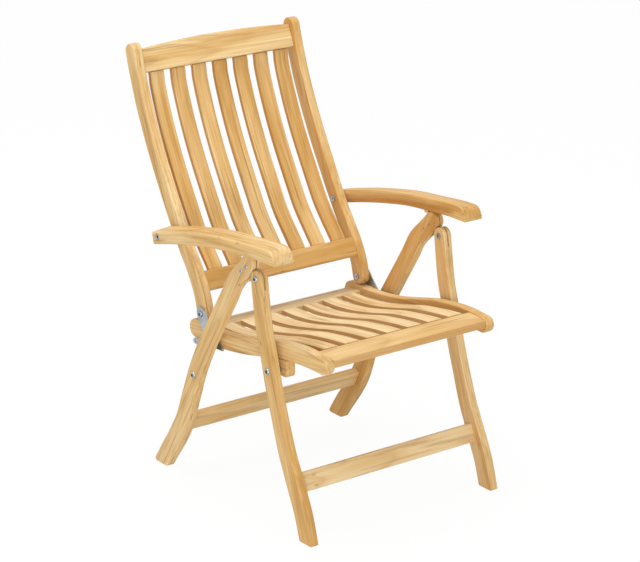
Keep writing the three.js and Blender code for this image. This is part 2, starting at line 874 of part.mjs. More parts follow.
// The catch under the arm, just behind the leg's rounded end
function armCatch() {
  const reach = rearTopWidth / 2 + catchGap;
  const front = rearLegEnd.x + Math.sqrt(reach * reach - (reach - catchDrop) ** 2);
  const underAt = (y) => pointWhere(armUnderLine, (point) => point.x < y).y - catchTopGap;
  const bottom = restPoint.y - catchDrop;
  const outline = [
    at(front, bottom + catchDrop / 3), at(front + catchDrop / 3, bottom),
    at(front + catchLength, bottom), at(front + catchLength, underAt(front + catchLength)),
    at(front, underAt(front)),
  ];
  return slab(outline, legInner + catchInset, legOuter - catchInset, 0);
}

// Folding links, whose upper rivet reaches just short of the bracket
function foldLink() {
  const line = new THREE.LineCurve(linkPivot, linkPin);
  const outline = ribbon(line, [linkWidth, linkWidth], 2, true, true);
  const hole = holeOutline(linkPivot, boltRadius, turnGap);
  const plate = slab(outline, linkInner, linkInner + plateThick, 0, [hole]);
  const rivetEnd = bracketInner + plateThick + seatGap;
  const rivetHead = linkInner + plateThick + rivetHeadThick;
  const rivet = turned([
    [0, rivetEnd], [rivetRadius, rivetEnd], [rivetRadius, rivetHead], [0, rivetHead],
  ], linkPin);
  return skin(solid(plate).add(solid(rivet)));
}

// Assemblies: rear legs, front legs, seat, back, arms and links
function rearFrame() {
  const group = new THREE.Group();
  pair(group, 'rear_leg', rearLeg(), wood(woodTone.light));
  piece(group, 'rear_stretcher', stretcher(rearLegLine, rearStretcherLean, rearStretcherSetback),
    wood(woodTone.warm));
  pair(group, 'apex_plate', apexPlate(), metal());
  fasteners(group, 'apex_plate_screw', screwPlaces.map((place) => screw(
    place, legInner + seatGap, legOuter + seatGap,
  )));
  fasteners(group, 'link_bolt', [bolt(linkPivot, linkInner - seatGap, legOuter + seatGap)]);
  return group;
}

function frontFrame() {
  const group = new THREE.Group();
  pair(group, 'front_leg', frontLeg(), wood(woodTone.light));
  piece(group, 'front_stretcher',
    stretcher(frontLegLine, frontStretcherLean, frontStretcherSetback), wood(woodTone.warm));
  fasteners(group, 'apex_bolt', [bolt(apex, legInner - seatGap, legOuter + seatGap)]);
  return group;
}

// Evenly spaced slats between the side boards
function spread(count, width, sideGap, place) {
  const reach = railInner - sideGap - width / 2;
  for (let index = 0; index < count; index += 1) {
    place(index + 1, THREE.MathUtils.lerp(-reach, reach, index / (count - 1)));
  }
}

function seat() {
  const group = new THREE.Group();
  pair(group, 'seat_rail', seatRail(), wood(woodTone.light));
  piece(group, 'seat_front_rail', frontRail(), wood(woodTone.light));
  piece(group, 'seat_rear_rail', rearRail(), wood(woodTone.warm));
  spread(seatSlatCount, seatSlatWidth, seatSlatSideGap, (number, x) => {
    piece(group, `seat_slat_${number}`, seatSlat(x), wood(woodTone.light));
  });
  pair(group, 'seat_pivot_block', pivotBlock(), wood(woodTone.warm));
  pair(group, 'back_bracket', bracket(), metal());
  fasteners(group, 'seat_pivot_bolt', [bolt(seatPivot, railInner - seatGap, legOuter + seatGap)]);
  fasteners(group, 'seat_pivot_spacer', [pivotSpacer()]);
  fasteners(group, 'bracket_screw', bracketPlaces(bracketScrewShares).map((place) => screw(
    place, bracketInner + turnGap / 4, bracketInner + plateThick + turnGap / 4,
  )));
  return group;
}

function back() {
  const group = new THREE.Group();
  pair(group, 'back_stile', stile(), wood(woodTone.light));
  piece(group, 'back_top_rail', topRail(), wood(woodTone.light));
  piece(group, 'back_bottom_rail', bottomRail(), wood(woodTone.warm));
  spread(backSlatCount, backSlatWidth, backSlatSideGap, (number, x) => {
    piece(group, `back_slat_${number}`, backSlat(x), wood(woodTone.light));
  });
  fasteners(group, 'back_pivot_bolt', [
    bolt(backPivot, railInner - seatGap, bracketInner + plateThick + seatGap),
  ]);
  return group;
}

function arms() {
  const group = new THREE.Group();
  pair(group, 'armrest', arm(), wood(woodTone.light));
  pair(group, 'arm_catch', armCatch(), wood(woodTone.deep));
  fasteners(group, 'arm_pivot_bolt', [
    bolt(armPivot, railInner - seatGap, armOuter - boltHeadThick),
  ]);
  return group;
}

function links() {
  const group = new THREE.Group();
  pair(group, 'fold_link', foldLink(), metal());
  return group;
}

// The whole chair, with its origin on the floor under the middle of its outer box
function chair() {
  const whole = new THREE.Group();
  whole.add(rearFrame(), frontFrame(), seat(), back(), arms(), links());
  const box = new THREE.Box3().setFromObject(whole);
  whole.position.y = -(box.min.y + box.max.y) / 2;
  whole.updateMatrixWorld(true);
  return whole;
}

export default chair();
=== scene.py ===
"""Folding teak armchair: boards, slats and steel fittings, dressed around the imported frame."""

import math
import random
from bisect import bisect_left
from itertools import accumulate

import bmesh
import bpy
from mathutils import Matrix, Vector
from mathutils.geometry import convex_hull_2d


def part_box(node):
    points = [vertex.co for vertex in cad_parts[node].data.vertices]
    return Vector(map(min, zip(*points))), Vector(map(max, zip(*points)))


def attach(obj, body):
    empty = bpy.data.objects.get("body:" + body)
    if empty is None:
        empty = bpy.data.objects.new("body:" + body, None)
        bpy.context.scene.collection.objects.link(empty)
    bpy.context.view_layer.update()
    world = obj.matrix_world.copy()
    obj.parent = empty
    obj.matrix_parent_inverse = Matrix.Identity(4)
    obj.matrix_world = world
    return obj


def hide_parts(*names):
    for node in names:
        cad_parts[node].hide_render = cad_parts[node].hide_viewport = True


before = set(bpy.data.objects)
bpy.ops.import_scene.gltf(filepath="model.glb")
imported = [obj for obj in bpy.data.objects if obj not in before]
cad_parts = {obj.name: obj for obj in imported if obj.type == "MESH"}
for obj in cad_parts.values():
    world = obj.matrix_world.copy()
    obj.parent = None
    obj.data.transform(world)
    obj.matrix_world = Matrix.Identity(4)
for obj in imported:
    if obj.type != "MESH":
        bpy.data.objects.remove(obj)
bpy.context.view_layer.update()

MM = 0.001
DEPTH, HEIGHT = 0, 1
FRAME_SHIFT = -58.1  # from the side view's depths below to the frame's, in mm
HANDS = (("right", 1), ("left", -1))
ACROSS = Vector((1, 0, 0))

# Gaps and round edges, in mm
SEAT_GAP = 0.3
TURN_GAP = 0.4
SLOT_GAP = 0.5
CUT_OVERRUN = 6
BOARD_ROUND = 2.8
SLAT_ROUND = 1.5
SHARP_EDGE = math.radians(38)

# Layers across the chair, in mm from its middle
RAIL = 220.0, 244.0
BRACKET_INNER, PLATE_THICK = 244.3, 3.0
ARM_INNER, ARM_OUTER = ARM = 246.6, 300.6
LINK_INNER = 250.9
LEG_INNER, LEG_OUTER = LEG = 255.75, 278.25
SLOT_MIDDLE, SLOT_WIDTH = 267.0, 4.0
INSIDE_RAILS, INSIDE_LEGS, OUTSIDE_LEGS = (
    RAIL[0] - SEAT_GAP, LEG_INNER - SEAT_GAP, LEG_OUTER + SEAT_GAP)

# Centre lines as shares of a run and a rise, from the part's source
FRONT_LEG_SHARES = (
    (0, 0), (0.085, 0.18), (0.18, 0.287), (0.275, 0.403), (0.387, 0.514),
    (0.545, 0.656), (0.663, 0.737), (0.789, 0.819), (0.901, 0.898), (1, 1),
)
REAR_LEG_SHARES = (
    (0, 0), (0.083, 0.073), (0.169, 0.144), (0.258, 0.232), (0.332, 0.347),
    (0.419, 0.475), (0.516, 0.587), (0.643, 0.71), (0.771, 0.833), (0.818, 0.884),
    (0.868, 0.921), (0.932, 0.957), (1, 1),
)
SEAT_RAIL_SHARES = (
    (0, 0), (0.179, -0.01), (0.3586, 0.189), (0.518, 0.519),
    (0.657, 0.83), (0.807, 1), (0.906, 1.035), (1, 1),
)
STILE_SHARES = (
    (0, 0), (0.033, 0.061), (0.089, 0.121), (0.163, 0.18), (0.27, 0.253), (0.398, 0.354),
    (0.527, 0.464), (0.652, 0.574), (0.763, 0.683), (0.87, 0.803), (0.951, 0.917), (1, 1),
)
ARM_SHARES = (
    (-0.052, 0.186), (0.241, 0.498), (0.497, 0.575), (0.738, 0.47),
    (1, 0), (1.223, -0.418), (1.398, -1),
)
BRACKET_SHARES = (
    (0, 0.18), (0.032, 0.24), (0.325, 0.55), (0.492, 0.76), (0.619, 0.945), (0.698, 1),
    (0.778, 0.99), (0.837, 0.925), (0.865, 0.83), (0.841, 0.72), (0.722, 0.52), (0.667, 0.36),
    (0.675, 0.2), (0.73, 0.15), (0.937, 0.15), (1, 0.08), (0.968, 0.01), (0.873, 0),
    (0.651, 0.06), (0.492, 0.12), (0.032, 0.14),
)
BRACKET_SCREWS = ((0.214, 0.33), (0.587, 0.34))
BRACKET_HOLE, BRACKET_HOLE_RADIUS = (0.905, 0.075), 2.8

# Sizes of the boards in mm
APEX = Vector((-119.3, 586.4))
FRONT_FOOT_Y, REAR_FOOT_Y = -306.0, 291.0
FRONT_LEG_WIDTHS = (39, 40, 40, 45.5, 43)
REAR_LEG_WIDTHS = (46, 51, 45, 43, 43)
RAIL_WIDTHS = (46, 42, 40, 42, 42, 42, 38.5)
STILE_WIDTHS = (40, 37, 40, 40, 40)
SEAT_REAR, SEAT_LENGTH, SEAT_RISE = (180.0, 375.0), 502.0, 53.0
SEAT_PIVOT_HEIGHT, LINK_PIVOT_HEIGHT, LINK_PIN_Y = 377, 276, 120
BACK_RUN, BACK_RISE, BACK_PIVOT_LIFT, BACK_PIVOT_Y = 287.5, 578.0, 45.0, 150.5
ARM_THICK, ARM_TILT, ARM_BOW, ARM_DROP, ARM_REST_GAP = 30.0, 5.0, 18.1, 23.0, 0.9
ARM_NOSE, ARM_TIP_HEIGHT = 25.0, 3.9
STRETCHER_HEIGHT, STRETCHER_HIGH, STRETCHER_THICK = 128, 45, 21
LEG_END_TURN, LEG_END_GAP, ARM_PIVOT_LIFT, FOLD_ANGLE = 44, 1.8, 177, 46
FRONT_BOARD_DEEP, REAR_BOARD_DEEP, REAR_BOARD_Y = 62, 56, 192
PLATE_ROUND, PLATE_TAIL, PLATE_EDGE = 13.0, 10.0, 0.5
PLATE_SCREW_PLACES = ((27, 42), (4, 57.3))  # degrees and mm from the apex
BRACKET_LONG, BRACKET_HIGH, BRACKET_TOP_RIGHT, LINK_WIDTH = 126, 100, (33.5, 18.7), 18
SLAT_COUNT, SLAT_THICK = 7, 12
BOLT_RADIUS, BOLT_HEAD, BOLT_HEAD_THICK = 4.0, 8.0, 3.5
SCREW_RADIUS, SCREW_HEAD, SCREW_HEAD_THICK = 2.2, 5.0, 1.6

# Oiled teak from the palest board to the darkest
TEAK_TONES = ("#F0D7A6", "#E7C68D", "#DDB575", "#CB9C56")
# How much darker (or, below 0, paler) than the average each board in the photograph is: partly
# the board's own tone and partly painted light and shade, from how brightly each board is lit
BOARD_TONES_AND_LIGHT = {
    "teak_back_slats": 0.20, "teak_back_bottom_board": 0.25, "teak_back_top_board": 0.08,
    "teak_back_stile_right": 0.16, "teak_back_stile_left": 0.07, "teak_seat_slats": -0.24,
    "teak_seat_rear_board": -0.30, "teak_front_stretcher": -0.30, "teak_rear_stretcher": -0.12,
    "teak_seat_front_board": -0.04, "teak_front_leg_left": 0.10, "teak_front_leg_right": -0.02,
    "teak_rear_leg_right": 0.10, "teak_rear_leg_left": -0.06, "teak_arm_right": 0.10,
    "teak_arm_left": -0.04, "teak_pivot_block_left": 0.10,
}
PLANK_STEP = 10.0  # metres between the places of two boards in the plank they are sawn from


# ---------------------------------------------------------------- side view drawing

def curve_between(before, start, end, beyond, t, slack):
    """A point on a smooth curve from start to end that heads along its neighbours' chords."""
    leave, arrive = (end - before) / slack, (beyond - start) / slack
    return ((2 * start - 2 * end + leave + arrive) * t ** 3
            + (3 * end - 3 * start - 2 * leave - arrive) * t ** 2 + leave * t + start)


def running_length(spots):
    steps = ((after - before).length for before, after in zip(spots, spots[1:]))
    return list(accumulate(steps, initial=0.0))


class Line:
    """A smooth centre line in the side view, through points of depth and height in mm."""

    MARKS = 200

    def __init__(self, points):
        self.points = [Vector(point) for point in points]
        self.reach = running_length(
            [self.point(mark / self.MARKS) for mark in range(self.MARKS + 1)])

    def point(self, share):
        last = len(self.points) - 1
        first = min(max(math.floor(share * last), 0), last)
        around = [self.points[min(max(first + step, 0), last)] for step in (-1, 0, 1, 2)]
        return curve_between(*around, share * last - first, 2)

    def share_at(self, along):
        wanted = along * self.reach[-1]
        mark = min(bisect_left(self.reach, wanted, 1), self.MARKS) - 1
        low, high = self.reach[mark], self.reach[mark + 1]
        return (mark + (wanted - low) / (high - low)) / self.MARKS

    def spot(self, along):
        return self.point(self.share_at(along))

    def heading(self, along):
        share = self.share_at(along)
        low, high = max(share - 0.0001, 0), min(share + 0.0001, 1)
        return (self.point(high) - self.point(low)).normalized()

    def crossing(self, axis, level):
        """Where the line first comes to a depth or a height."""
        rises = self.points[-1][axis] > self.points[0][axis]
        low, high = 0.0, 1.0
        for _ in range(40):
            middle = (low + high) / 2
            if (self.point(middle)[axis] > level) == rises:
                high = middle
            else:
                low = middle
        return self.point(low)


def stretched(shares, start, run, rise):
    return [Vector((start[0] + along * run, start[1] + up * rise)) for along, up in shares]


def left_of(direction):
    return Vector((-direction[1], direction[0]))


def toward(turn):
    return Vector((math.cos(turn), math.sin(turn)))


def width_at(widths, share):
    place = share * (len(widths) - 1)
    station = min(int(place), len(widths) - 2)
    return widths[station] + (widths[station + 1] - widths[station]) * (place - station)


def round_end(line, share, radius, steps=14):
    middle = line.spot(share)
    forward = line.heading(share) * (1 if share > 0 else -1)
    side = left_of(forward)
    turns = [math.pi * (step / steps - 0.5) for step in range(1, steps)]
    return [middle + forward * radius * math.cos(t) + side * radius * math.sin(t) for t in turns]


def ribbon(line, widths, steps, start_round=False, end_round=False):
    """The outline of a curved board of changing width, with round or square ends."""
    left, right = [], []
    for step in range(steps + 1):
        share = step / steps
        side = left_of(line.heading(share)) * width_at(widths, share) / 2
        left.append(line.spot(share) + side)
        right.append(line.spot(share) - side)
    outline = list(right)
    if end_round:
        outline += round_end(line, 1, width_at(widths, 1) / 2)
    outline += left[::-1]
    if start_round:
        outline += round_end(line, 0, width_at(widths, 0) / 2)
    return outline


def ring(middle, radius, sides=28):
    return [Vector(middle) + toward(2 * math.pi * side / sides) * radius for side in range(sides)]


def soft_corner(before, corner, after, reach, steps):
    start = corner + (before - corner).normalized() * reach
    end = corner + (after - corner).normalized() * reach
    return [start * (1 - t) ** 2 + corner * 2 * t * (1 - t) + end * t ** 2
            for t in (step / steps for step in range(steps + 1))]


def leaning(lean):
    """Up and back for a board that leans back by an angle in degrees."""
    turn = math.radians(lean)
    return Vector((math.sin(turn), math.cos(turn))), Vector((math.cos(turn), -math.sin(turn)))


def block_outline(centre, up, back, height, thick):
    return [centre + up * v * height / 2 + back * w * thick / 2
            for v, w in ((-1, 1), (1, 1), (1, -1), (-1, -1))]


def past(end, before, reach):
    return end + (end - before).normalized() * reach


# Lines and pivots that several pieces share
front_leg_line = Line(stretched(FRONT_LEG_SHARES, APEX, FRONT_FOOT_Y - APEX[0], -APEX[1]))
leg_end_reach = FRONT_LEG_WIDTHS[0] / 2 + REAR_LEG_WIDTHS[-1] / 2 + LEG_END_GAP
rear_leg_end = APEX + toward(math.radians(LEG_END_TURN)) * leg_end_reach
rear_leg_line = Line(stretched(
    REAR_LEG_SHARES, (REAR_FOOT_Y, 0), rear_leg_end[0] - REAR_FOOT_Y, rear_leg_end[1]))
rail_line = Line(stretched(SEAT_RAIL_SHARES, SEAT_REAR, -SEAT_LENGTH, SEAT_RISE))
seat_pivot = front_leg_line.crossing(HEIGHT, SEAT_PIVOT_HEIGHT)
link_pivot = rear_leg_line.crossing(HEIGHT, LINK_PIVOT_HEIGHT)
link_pin = rail_line.crossing(DEPTH, LINK_PIN_Y)
back_pivot = Vector((BACK_PIVOT_Y, rail_line.crossing(DEPTH, BACK_PIVOT_Y)[1] + BACK_PIVOT_LIFT))
stile_line = Line(stretched(STILE_SHARES, back_pivot, BACK_RUN, BACK_RISE))
arm_pivot = stile_line.crossing(HEIGHT, back_pivot[1] + ARM_PIVOT_LIFT)
plate_screws = [APEX + toward(math.radians(turn)) * reach for turn, reach in PLATE_SCREW_PLACES]
bracket_corner = back_pivot + Vector(BRACKET_TOP_RIGHT) - Vector((BRACKET_LONG, BRACKET_HIGH))
rest_point = rear_leg_end + Vector((0, REAR_LEG_WIDTHS[-1] / 2 + ARM_REST_GAP))
arm_run = rest_point[0] - arm_pivot[0]
arm_rise = rest_point[1] - arm_pivot[1] + ARM_DROP
arm_line = Line([
    (arm_pivot[0] + along * arm_run, arm_pivot[1] - ARM_DROP + along * arm_rise + bow * ARM_BOW)
    for along, bow in ARM_SHARES])
front_nose_y = SEAT_REAR[0] - SEAT_LENGTH - RAIL_WIDTHS[-1] / 2 + 4
front_board_rear_y = front_nose_y + FRONT_BOARD_DEEP
rear_board_front_y = REAR_BOARD_Y - REAR_BOARD_DEEP


def rail_height(y):
    return rail_line.crossing(DEPTH, y)[1]


# ---------------------------------------------------------------- materials

def linear(code):
    """An sRGB hex colour as linear light."""
    def channel(value):
        value /= 255
        return value / 12.92 if value <= 0.04045 else ((value + 0.055) / 1.055) ** 2.4
    return tuple(channel(int(code[i:i + 2], 16)) for i in (1, 3, 5)) + (1.0,)


def adding(tree):
    """Gives the function that adds a node to a tree. Its links are a list for the first inputs,
    or a table by name or number; each is a value, an output, or a node that stands for its
    first output."""
    def add(kind, links=(), **settings):
        made = tree.nodes.new(kind)
        for name, value in settings.items():
            setattr(made, name, value)
        for name, value in links.items() if isinstance(links, dict) else enumerate(links):
            if isinstance(value, bpy.types.Node):
                value = value.outputs[0]
            if isinstance(value, bpy.types.NodeSocket):
                tree.links.new(value, made.inputs[name])
            else:
                made.inputs[name].default_value = value
        return made
    return add


def emptied(owner):
    """Clears the node tree of a new material or world, and gives what adds its nodes."""
    owner.use_nodes = True
    owner.node_tree.nodes.clear()
    return adding(owner.node_tree)


def stops(ramp, colours):
    """Sets a colour ramp's stops from pairs of place and colour."""
    band = ramp.color_ramp
    while len(band.elements) < len(colours):
        band.elements.new(1.0)
    for stop, (place, colour) in zip(band.elements, colours):
        stop.position, stop.color = place, colour
    return ramp


def oiled_teak():
    """Sawn and sanded teak with a thin coat of oil: straw and honey boards of slightly different
    tone, growth rings cut into straight lines and arches, straight fibre streaks, brown patches,
    and a few pin knots, with a low sheen. It reads each board's own place in the plank, which
    lay_grain stores."""
    material = bpy.data.materials.new("oiled_teak")
    add = emptied(material)
    place = add("ShaderNodeAttribute", attribute_name="plank_place").outputs["Vector"]
    along, across, through = add("ShaderNodeSeparateXYZ", [place]).outputs
    cut_across, shade_painted, darker = (
        add("ShaderNodeAttribute", attribute_name=name).outputs["Fac"]
        for name in ("cut_across", "gathered_oil", "board_tone"))

    # Noise by its marks per metre along the grain and across it, its detail and its roughness.
    # The fibre streaks are 4 mm and 2 mm across: coarser than real fibres, so that they show
    noises = []
    for marks_along, marks_across, detail, rough in (
            (2.2, 8.0, 1.0, 0.4), (3.0, 26.0, 3.0, 0.5), (3.5, 230.0, 2.0, 0.55),
            (8.0, 430.0, 2.0, 0.6), (4.5, 48.0, 4.0, 0.58), (3.0, 130.0, 3.0, 0.6)):
        drawn_out = add("ShaderNodeVectorMath", {
            0: place, 1: (marks_along, marks_across, marks_across)}, operation="MULTIPLY")
        noises.append(add("ShaderNodeTexNoise", {
            "Vector": drawn_out, "Scale": 1.0, "Detail": detail, "Roughness": rough}))
    wander, field, broad_fibres, fine_fibres, patches, veins = noises

    # Growth rings 9 mm apart, wider than the real 4 mm so that they show, on a wandering pith
    ring_step, wander_reach, taper = 0.009, 0.034, 0.018
    from_pith = add("ShaderNodeCombineXYZ", {1: across, 2: through})
    radius = add("ShaderNodeVectorMath", [from_pith], operation="LENGTH")
    bent = add("ShaderNodeMath", [wander, wander_reach, radius.outputs["Value"]],
               operation="MULTIPLY_ADD")
    tapered = add("ShaderNodeMath", [along, taper, bent], operation="MULTIPLY_ADD")
    turns = add("ShaderNodeMath", [tapered, 1 / ring_step], operation="MULTIPLY")
    year = add("ShaderNodeMath", [turns], operation="FRACT")
    rings = stops(add("ShaderNodeValToRGB", [year]), [
        (spot, (level, level, level, 1.0)) for spot, level in (
            (0.0, 0.30), (0.12, 0.02), (0.55, 0.10), (0.80, 0.42), (0.93, 1.0), (1.0, 0.30))])

    # Each board's own tone, from its number in the plank, and soft fields along it
    number = add("ShaderNodeMath", [along, 1 / PLANK_STEP], operation="MULTIPLY")
    whole = add("ShaderNodeMath", [number], operation="ROUND")
    drawn = add("ShaderNodeTexWhiteNoise", {"W": whole}, noise_dimensions="1D")
    mottled = add("ShaderNodeMath", [drawn.outputs["Value"], 0.22, field],
                  operation="MULTIPLY_ADD")
    # each board's listed shift is partly its own tone and partly painted light and shade
    own_tone_and_light = add("ShaderNodeMath", [mottled, darker], operation="ADD")
    colour = stops(add("ShaderNodeValToRGB", [own_tone_and_light]), [
        (spot, linear(code)) for spot, code in zip((0.36, 0.58, 0.76, 0.94), TEAK_TONES)])

    # Where a board is cut across, the fibres end: rings show there, and hardly any streaks
    lengthwise = add("ShaderNodeMapRange", {"Value": cut_across, "From Min": 0.9, "From Max": 0.3})
    # Pin knots, 2 mm across and a little longer, in a few of their cells
    cells = add("ShaderNodeVectorMath", [place, (14.0, 42.0, 42.0)], operation="MULTIPLY")
    knots = add("ShaderNodeTexVoronoi", {"Vector": cells, "Scale": 1.0})
    rare = add("ShaderNodeSeparateColor", [knots.outputs["Color"]])
    is_knot = add("ShaderNodeMath", [rare, 0.87], operation="GREATER_THAN")

    # Each layer's source, where it starts, where it is full, its share there, what it is kept
    # to and its colour. Gaps, inner faces and hollows are painted a deeper orange as painted shade
    for source, start, full, share, kept_to, code in (
            (rings, 0.0, 1.0, 0.38, None, "#B88644"),
            (cut_across, 0.3, 0.9, 0.22, None, "#B88644"),
            (broad_fibres, 0.46, 0.68, 0.36, lengthwise, "#BF8C47"),
            (broad_fibres, 0.46, 0.30, 0.28, lengthwise, "#F4DDAE"),
            (fine_fibres, 0.50, 0.72, 0.28, lengthwise, "#A87636"),
            (patches, 0.54, 0.70, 0.52, None, "#A4763A"),
            (veins, 0.61, 0.71, 0.60, None, "#8A5F2E"),
            # painted shade: a deeper orange where shade falls in gaps, on inner faces and in
            # hollows
            (shade_painted, 0.0, 1.0, 0.62, None, "#B8782C"),
            (knots.outputs["Distance"], 0.13, 0.04, 0.50, is_knot, "#6B431D")):
        cover = add("ShaderNodeMapRange", {
            "Value": source, "From Min": start, "From Max": full, "To Max": share})
        if kept_to:
            cover = add("ShaderNodeMath", [cover, kept_to], operation="MULTIPLY")
        colour = add("ShaderNodeMix", {0: cover, 6: colour, 7: linear(code)},
                     data_type="RGBA").outputs[2]

    rough = add("ShaderNodeMapRange", {
        "Value": broad_fibres, "From Min": 0.3, "From Max": 0.7, "To Min": 0.47, "To Max": 0.60})
    bump = add("ShaderNodeBump", {"Height": fine_fibres, "Strength": 0.20, "Distance": 0.0003})
    shader = add("ShaderNodeBsdfPrincipled", {
        "Base Color": colour, "Roughness": rough, "Normal": bump, "Metallic": 0.0, "IOR": 1.47,
        "Specular IOR Level": 0.32})
    add("ShaderNodeOutputMaterial", {"Surface": shader})
    return material


def brushed_steel():
    """Rolled stainless sheet and bar, lightly brushed: cool grey with soft reflections drawn
    out along the brushing, and slightly duller patches where it has been handled."""
    material = bpy.data.materials.new("brushed_steel")
    add = emptied(material)
    place = add("ShaderNodeTexCoord").outputs["Object"]
    # Brush marks 0.5 mm apart and 15 mm long
    turned = add("ShaderNodeMapping", {
        "Vector": place, "Rotation": (math.radians(30), 0.0, 0.0),
        "Scale": (2000.0, 65.0, 2000.0)})
    brushing = add("ShaderNodeTexNoise", {"Vector": turned, "Scale": 1.0, "Detail": 2.0})
    handled = add("ShaderNodeTexNoise", {"Vector": place, "Scale": 45.0, "Detail": 2.0})
    clean = stops(add("ShaderNodeValToRGB", [handled]), [
        (0.30, linear("#9CA2A7")), (0.70, linear("#B8BDC1"))])
    # Sockets and cross recesses are painted dark as painted shade
    recess = add("ShaderNodeAttribute", attribute_name="recess").outputs["Fac"]
    colour = add("ShaderNodeMix", {0: recess, 6: clean, 7: linear("#34373A")},
                 data_type="RGBA").outputs[2]
    both = add("ShaderNodeMath", [brushing, 0.5, handled], operation="MULTIPLY_ADD")
    rough = add("ShaderNodeMapRange", {
        "Value": both, "From Min": 0.4, "From Max": 1.1, "To Min": 0.26, "To Max": 0.42})
    bump = add("ShaderNodeBump", {"Height": brushing, "Strength": 0.12, "Distance": 0.0002})
    shader = add("ShaderNodeBsdfPrincipled", {
        "Base Color": colour, "Metallic": 1.0, "Roughness": rough, "Normal": bump})
    add("ShaderNodeOutputMaterial", {"Surface": shader})
    return material


TEAK = oiled_teak()
STEEL = brushed_steel()


# ---------------------------------------------------------------- making and finishing pieces

def side_view(side):
    """Puts a side view drawing at a distance across the chair, on the right (1) or left (-1)."""
    def place(point, across):
        return Vector((side * across, point[0] + FRAME_SHIFT, point[1])) * MM
    return place


def in_frame(direction):
    """A side view direction in the frame, one long."""
    return Vector((0, direction[0], direction[1])).normalized()


def linked(name, data):
    thing = bpy.data.objects.new(name, data)
    bpy.context.scene.collection.objects.link(thing)
    return thing


def closed_shape(rows):
    """A solid with a skin over rows of places, each of them a section or an end face."""
    shape = bmesh.new()
    rows = [[shape.verts.new(spot) for spot in row] for row in rows]
    shape.faces.new(rows[0][::-1])
    shape.faces.new(rows[-1])
    count = len(rows[0])
    for before, after in zip(rows, rows[1:]):
        for step in range(count):
            follow = (step + 1) % count
            shape.faces.new((before[step], before[follow], after[follow], after[step]))
    bmesh.ops.remove_doubles(shape, verts=shape.verts, dist=0.01 * MM)
    bmesh.ops.recalc_face_normals(shape, faces=shape.faces)
    return shape


def as_object(name, shape):
    mesh = bpy.data.meshes.new(name)
    shape.to_mesh(mesh)
    shape.free()
    return linked(name, mesh)


def board(name, outline, near, far, place, radius=BOARD_ROUND, chosen=lambda edge: True):
    """A board cut to an outline, with its sharp edges rounded over."""
    shape = closed_shape([[place(point, depth) for point in outline] for depth in (near, far)])
    if radius:
        edges = [edge for edge in shape.edges
                 if edge.calc_face_angle() > SHARP_EDGE and chosen(edge)]
        bmesh.ops.bevel(shape, geom=edges, offset=radius * MM, offset_type="OFFSET", segments=3,
                        profile=0.5, affect="EDGES", clamp_overlap=True)
    return as_object(name, shape)


def baked(thing):
    """Turns an object's modifiers into plain mesh and removes them."""
    graph = bpy.context.evaluated_depsgraph_get()
    mesh = bpy.data.meshes.new_from_object(thing.evaluated_get(graph))
    old = thing.data
    thing.modifiers.clear()
    thing.data = mesh
    mesh.name = thing.name
    bpy.data.meshes.remove(old)
    return thing


def carved(thing, tools, how="DIFFERENCE"):
    """Takes other shapes out of a piece, or joins them to it."""
    for tool in tools:
        cut = thing.modifiers.new("cut", "BOOLEAN")
        cut.operation, cut.solver, cut.object = how, "EXACT", tool
    baked(thing)
    for tool in tools:
        bpy.data.meshes.remove(tool.data)  # its object goes with it


def holes(place, near, far, bolts=(), screws=(), others=()):
    """Tools for round holes through a layer: for bolts, for screws, and for other pins."""
    pins = [*((spot, BOLT_RADIUS) for spot in bolts), *others,
            *((spot, SCREW_RADIUS) for spot in screws)]
    return [board("hole", ring(middle, radius + TURN_GAP), near - CUT_OVERRUN,
                  far + CUT_OVERRUN, place, 0) for middle, radius in pins]


def grown(name, mesh, tree, sizes):
    """What a geometry nodes tree makes of a mesh of places and of its named sizes."""
    thing = linked(name, mesh)
    row = thing.modifiers.new("row", "NODES")
    row.node_group = tree
    for item in tree.interface.items_tree:
        if item.name in sizes:
            row[item.identifier] = sizes[item.name]
    return baked(thing)


def smooth(thing, sharp=36):
    """Shades round edges smoothly and keeps the flats of the boards flat."""
    thing.data.shade_smooth()
    thing.data.set_sharp_from_angle(angle=math.radians(sharp))
    weights = thing.modifiers.new("flats", "WEIGHTED_NORMAL")
    weights.mode, weights.weight, weights.keep_sharp = "FACE_AREA", 60, True
    baked(thing)


def mark(mesh, name, values, kind="FLOAT", field="value"):
    """Stores a value for each point of a mesh."""
    mesh.attributes.new(name, kind, "POINT").data.foreach_set(field, values)


def paint_shade(thing, amount_at):
    """Marks where shade is painted on a piece, from 0 to 1."""
    mark(thing.data, "gathered_oil", [amount_at(vertex.co) for vertex in thing.data.vertices])


board_numbers = iter(range(1, 200))
plank_draw = random.Random(41)


def straight_grain(thing, along, through):
    """Measures a point of a straight board along its grain, across it and through it."""
    across = through.cross(along).normalized()
    middle = sum((Vector(corner) for corner in thing.bound_box), Vector()) / 8

    def measure(spot):
        local = spot - middle
        return 0, (local.dot(along), local.dot(across), local.dot(through))
    return measure


def bent_along(path):
    """Measures a point along a curved piece and away from its middle, so its grain bends too."""
    spots = [side_view(1)(point, 0) for point in path]
    reach = running_length(spots)

    def measure(spot):
        best = None
        for start, before, after in zip(reach, spots, spots[1:]):
            run = after - before
            share = min(max((spot - before).dot(run) / run.length_squared, 0), 1)
            gap = spot - (before + run * share)
            gap.x = 0
            if best is None or gap.length < abs(best[1]):
                side = run.y * gap.z - run.z * gap.y
                best = (start + share * run.length, math.copysign(gap.length, side))
        return best
    return measure


